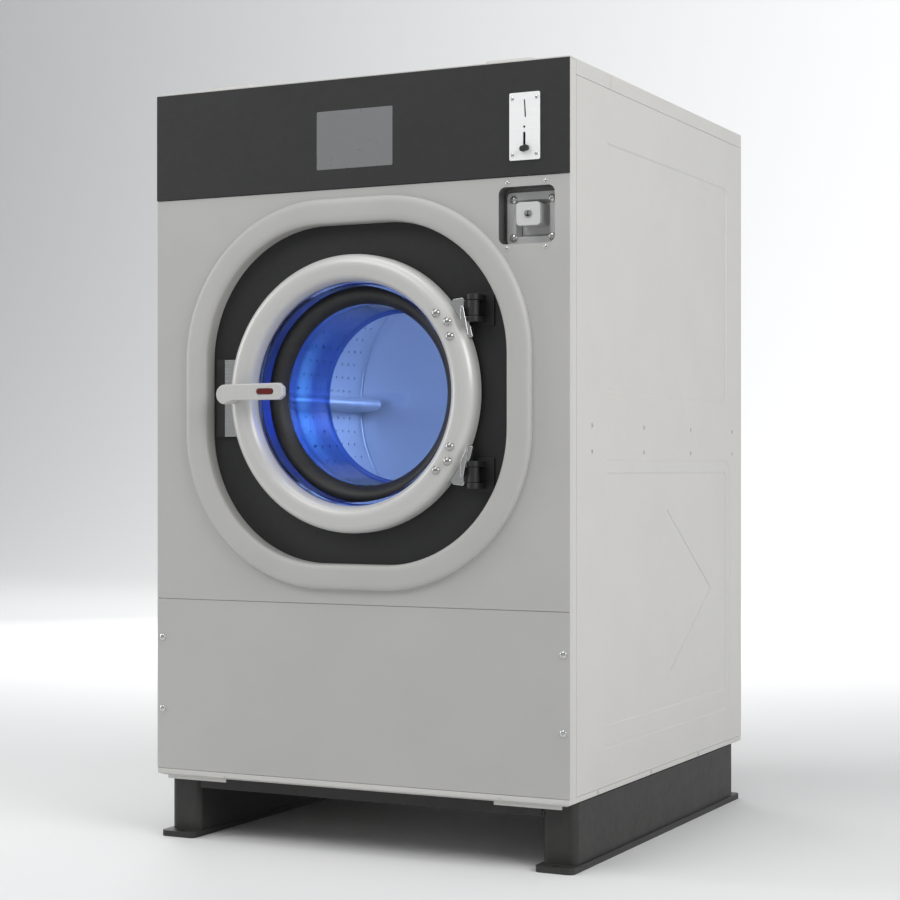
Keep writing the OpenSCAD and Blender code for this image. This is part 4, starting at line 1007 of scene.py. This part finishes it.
class WASHER_OT_drum(bpy.types.Operator):
    """The perforated drum, its back plate with a rolled joint, and its rounded lifters"""

    bl_idname = "washer.drum"
    bl_label = "Drum"

    def execute(self, context):
        radius, y0, y1 = DRUM[1][0], DRUM[0][1], DRUM[1][1]
        columns, rows, pitch = 72, 18, 0.030
        skin = radius - 0.0022
        half = skin * math.tan(math.pi / columns)
        first = (y0 + y1) / 2 - pitch * rows / 2
        last = first + pitch * rows
        strips = []
        for turn in (0, 1):
            begin()
            bpy.ops.mesh.primitive_circle_add(vertices=8, radius=sizes().drum_hole / 2)
            hole = named("wall_hole")
            begin()
            bpy.ops.mesh.primitive_plane_add(size=1)
            rim = named("wall_rim")
            edit("EDGE", "SELECT")
            bpy.ops.mesh.delete(type="ONLY_FACE")
            bpy.ops.mesh.select_all(action="SELECT")
            bpy.ops.mesh.subdivide(number_cuts=1)
            bpy.ops.transform.resize(value=(2 * half, pitch, 1), center_override=(0, 0, 0))
            leave()
            strip = join("wall_strip", hole, rim)
            edit("EDGE", "SELECT")
            bpy.ops.mesh.bridge_edge_loops()
            bpy.ops.mesh.select_all(action="SELECT")
            bpy.ops.transform.translate(value=(0, first + pitch * (0.5 + 0.5 * turn), 0))
            leave()
            with_modifier(strip, "ARRAY", count=rows - turn, use_relative_offset=False,
                          use_constant_offset=True, constant_offset_displace=(0, pitch, 0),
                          use_merge_vertices=True, merge_threshold=1e-5)
            for place, way in ((first + 0.5 * pitch * turn, -1), (last - 0.5 * pitch * turn, 1)):
                pick_edges(strip, lambda p, q: abs(p.y - place) < 1e-4 and abs(q.y - place) < 1e-4)
                push(y=way * 0.5 * pitch * turn)
                push(y=way * 0.008)
                leave()
            take(strip)
            edit("FACE", "SELECT")
            bpy.ops.transform.translate(value=(0, 0, DOOR_Z + skin))
            bpy.ops.transform.rotate(value=turn * 2 * math.pi / columns, orient_axis="Y",
                                     center_override=(0, 0, DOOR_Z))
            leave()
            strips.append(strip)
        wall = join("drum_wall", *strips)
        edit("FACE", "SELECT")
        bpy.ops.mesh.spin(steps=columns // 2, angle=2 * math.pi, dupli=True, center=(0, 0, DOOR_Z),
                          axis=(0, 1, 0))
        leave()
        close_up(wall, gap=2e-4)
        with_modifier(wall, "SOLIDIFY", thickness=0.0014, offset=1)

        mouth, outer = 0.234, radius - 0.0003
        front = [(outer, y0 + 0.036)] + arc(outer - 0.012, y0 + 0.012, 0.012, 0, -90, 8)
        front += arc(mouth + 0.008, y0 + 0.008, 0.008, -90, -180, 8) + [(mouth, y0 + 0.016)]
        front += [(mouth + SHEET, y0 + 0.016)] + arc(mouth + 0.008, y0 + 0.008, 0.008 - SHEET, -180, -90, 8)
        front += arc(outer - 0.012, y0 + 0.012, 0.012 - SHEET, -90, 0, 8)
        front += [(outer - SHEET, y0 + 0.036), (outer, y0 + 0.036)]
        nose = turned("drum_front", front, steps=144)

        rear, face, seam = y1 - 0.0004, y1 - 0.0034, outer - 0.0052
        rings = (0.0, 0.06, 0.130, 0.205, 0.280)
        back = [(r, rear) for r in rings + (outer - 0.003,)]
        back += arc(outer - 0.003, face, 0.003, 90, 0, 8) + [(outer, y1 - 0.036)]
        back += [(outer - SHEET, y1 - 0.036), (outer - SHEET, y1 - 0.0038), (outer - 0.0019, face)]
        back += [(seam + 0.0018, face), (seam + 0.0016, y1 - 0.0006), (seam - 0.0016, y1 - 0.0006),
                 (seam - 0.0018, face)]
        back += [(r, face) for r in rings[::-1]]
        plate = turned("drum_back", back, steps=144)
        finish(join("drum_shell_pressed", wall, nose, plate), "drum_steel", "drum_shell", angle=30)

        lifters = []
        inner, height, nose_r = radius - 0.003, 0.070, 0.014
        section = [(-0.0188, inner - 0.0020)] + arc(
            0, inner - height + nose_r, nose_r * 0.99, -180, 0, 12) + [(0.0188, inner - 0.0020)]
        ends = (y0 + 0.0305, y1 - 0.0225)
        for phi in (180, 60, -60):
            dx, dz = math.cos(math.radians(phi)), math.sin(math.radians(phi))
            outline = [(r * dx - u * dz, DOOR_Z + r * dz + u * dx) for u, r in section]
            lifter = slab("lifter", outline, *ends)
            for place, way in zip(ends, (1, -1)):
                pick_points(lifter, lambda p: abs(p.y - place) < 1e-4
                            and math.hypot(p.x, p.z - DOOR_Z) < inner - 0.02)
                bpy.ops.transform.translate(value=(0, way * 0.010, 0))
                leave()
            bevel(lifter, 0.004, 4, 30)
            lifters.append(lifter)
        finish(join("drum_lifters_pressed", *lifters), "drum_steel", "drum_lifters", angle=40)
        return {"FINISHED"}


# Fasteners


def screw_head(name, radius, height):
    """A low dome head with a cross recess, facing the front, seated at the origin."""
    head = turned(name, [(0.0, -height)] + [
        (radius * math.sin(math.radians(a)), -height * 0.25 - height * 0.75 * math.cos(math.radians(a)))
        for a in range(15, 91, 15)] + [(radius, 0.0), (0.0, 0.0)], steps=24, centre=(0.0, 0.0))
    half, arm = radius * 0.11, radius * 0.5
    cross = [block("cross", (-a, -height - 0.001, -b), (a, -height * 0.6, b))
             for a, b in ((half, arm), (arm, half))]
    return cut(head, *cross)


class WASHER_OT_screws(bpy.types.Operator):
    """Screws of the panels, pocket, coin plate, vault and sides"""

    bl_idname = "washer.screws"
    bl_label = "Screws"

    def execute(self, context):
        # Radius and height of a head, and the middle and half distances of four of them
        fours = (
            (0.007, 0.0033, (0, FRONT_Y, 0.33825), (0.447, 0.07325)),
            (0.004, 0.0020, (VAULT_X, FRONT_Y, VAULT_Z), (0.0393, 0.0616)),
            (0.0035, 0.0016, (COIN_X, COIN[0][1], COIN_Z), (0.0245, 0.0528)),
            (0.0075, 0.0048, (VAULT_X, VAULT[0][1], VAULT_PLATE_Z), (0.0395, 0.036)),
        )
        screws = []
        for radius, height, (x, y, z), (dx, dz) in fours:
            head = screw_head("screw", radius, height)
            screws += [copied(head, "screw", x + i * dx, y, z + j * dz) for i in (-1, 1) for j in (-1, 1)]
            bpy.data.objects.remove(head)
        side = moved(screw_head("side_screw", 0.0045, 0.0014), degrees=90, axis="Z")
        if sum(point.co.x for point in side.data.vertices) < 0:
            moved(side, degrees=180, axis="Z")
        heads = [copied(side, "side_screw", SIDE_X, y, z)
                 for y in (-0.396, -0.120, 0.160, 0.439) for z in (0.790, 0.840)]
        heads += [copied(side, "side_screw", SIDE_X - 0.0005, y, 0.1372) for y in (-0.366, -0.077, 0.212)]
        bpy.data.objects.remove(side)
        heads = join("side_screws", *heads)
        mirrored(heads, (-1, 1, 1))
        finish(join("panel_screw_heads", heads, *screws), "bright_steel", "panel_screws")
        return {"FINISHED"}


class WASHER_OT_stage(bpy.types.Operator):
    """Floor, backdrop, lamps and the camera"""

    bl_idname = "washer.stage"
    bl_label = "Stage"

    def execute(self, context):
        scene = context.scene
        scene.view_settings.view_transform = "Standard"
        sweep = [(-9.0, 0.0)] + arc(7.0, 6.0, 6.0, -90, 0, 24) + [(13.0, 16.0)]
        backdrop = chain("studio_floor", [(-24.0, y, z) for y, z in sweep])
        edit("EDGE", "SELECT")
        push(x=48.0)
        bpy.ops.mesh.select_all(action="SELECT")
        bpy.ops.mesh.normals_make_consistent(inside=False)
        leave()
        smooth(backdrop, 60)
        pale = fresh_material("pale_floor")
        set_surface(pale.node_tree, {
            "Roughness": 0.7, "Base Color": (0.78, 0.78, 0.78, 1), "Specular IOR Level": 0.2})
        backdrop.data.materials.clear()
        backdrop.data.materials.append(pale)

        scene.world = bpy.data.worlds.new("studio_air")
        scene.world.use_nodes = True
        air = scene.world.node_tree.nodes["Background"].inputs
        air["Color"].default_value = (0.95, 0.97, 1.0, 1)
        air["Strength"].default_value = 0.36
        lamps = (
            ("key_softbox", (4.2, -1.6, 2.9), (0.46, 0.0, 0.9), 3.0, 2.4, 115.0),
            ("front_softbox", (-1.2, -3.4, 3.9), (-0.1, -0.5, 1.05), 2.6, 2.0, 47.0),
            ("top_softbox", (0.0, -0.8, 4.2), (0.0, -0.3, 1.5), 2.4, 1.6, 36.0),
            ("left_strip", (-3.4, -1.5, 1.7), (0.1, -0.5, 0.95), 0.8, 2.4, 34.0),
            ("drum_lamp", (0.25, -0.25, 1.10), (-0.15, 0.15, 0.88), 0.10, 0.30, 7.0),
            ("back_softbox", (-3.6, 3.8, 2.6), (0.0, 0.3, 0.9), 2.4, 2.4, 60.0),
            ("backdrop_wash", (0.0, 3.4, 6.5), (-3.0, 13.0, 2.5), 10.0, 2.0, 900.0),
        )
        for name, place, target, width, height, power in lamps:
            begin()
            bpy.ops.object.light_add(type="AREA", location=place)
            lamp = context.object
            lamp.name = name
            lamp.data.shape = "RECTANGLE"
            lamp.data.size = width
            lamp.data.size_y = height
            lamp.data.energy = power
            lamp.rotation_euler = aim(place, target)

        begin()
        bpy.ops.object.camera_add(location=(1.9190, -3.9456, 0.7614), rotation=(
            math.pi / 2, 0, math.radians(26.386)))
        camera = context.object
        camera.data.sensor_width = 36.0
        camera.data.lens = 80.44
        camera.data.shift_y = 0.01856
        camera.data.clip_end = 60.0
        scene.camera = camera
        return {"FINISHED"}


def aim(place, target):
    """The turn that points a lamp at a target."""
    dx, dy, dz = (b - a for a, b in zip(place, target))
    flat = math.hypot(dx, dy)
    return (math.pi / 2 + math.atan2(dz, flat), 0, math.atan2(dy, dx) - math.pi / 2)


OPERATORS = (
    WASHER_OT_finishes, WASHER_OT_front, WASHER_OT_sides, WASHER_OT_door, WASHER_OT_hinges,
    WASHER_OT_handle, WASHER_OT_coin_unit, WASHER_OT_frame, WASHER_OT_drum, WASHER_OT_screws,
    WASHER_OT_stage,
)


class WASHER_PT_panel(bpy.types.Panel):
    """Lists the washer's sizes, colours and pieces"""

    bl_idname = "WASHER_PT_panel"
    bl_label = "Washer-extractor"
    bl_space_type = "VIEW_3D"
    bl_region_type = "UI"
    bl_category = "Washer"

    def draw(self, context):
        for group_of in (sizes(), colours()):
            for key in group_of.__annotations__:
                self.layout.prop(group_of, key)
        for operator in OPERATORS:
            self.layout.operator(operator.bl_idname)


CLASSES = (WasherSizes, WasherColours, WASHER_PT_panel) + OPERATORS


def register():
    for cls in CLASSES:
        bpy.utils.register_class(cls)
    bpy.types.Scene.washer_sizes = bpy.props.PointerProperty(type=WasherSizes)
    bpy.types.Scene.washer_colours = bpy.props.PointerProperty(type=WasherColours)


def unregister():
    del bpy.types.Scene.washer_sizes
    del bpy.types.Scene.washer_colours
    for cls in reversed(CLASSES):
        bpy.utils.unregister_class(cls)


def main():
    register()
    for operator in OPERATORS:
        area, name = operator.bl_idname.split(".")
        getattr(getattr(bpy.ops, area), name)()
    begin()


if __name__ == "__main__":
    main()
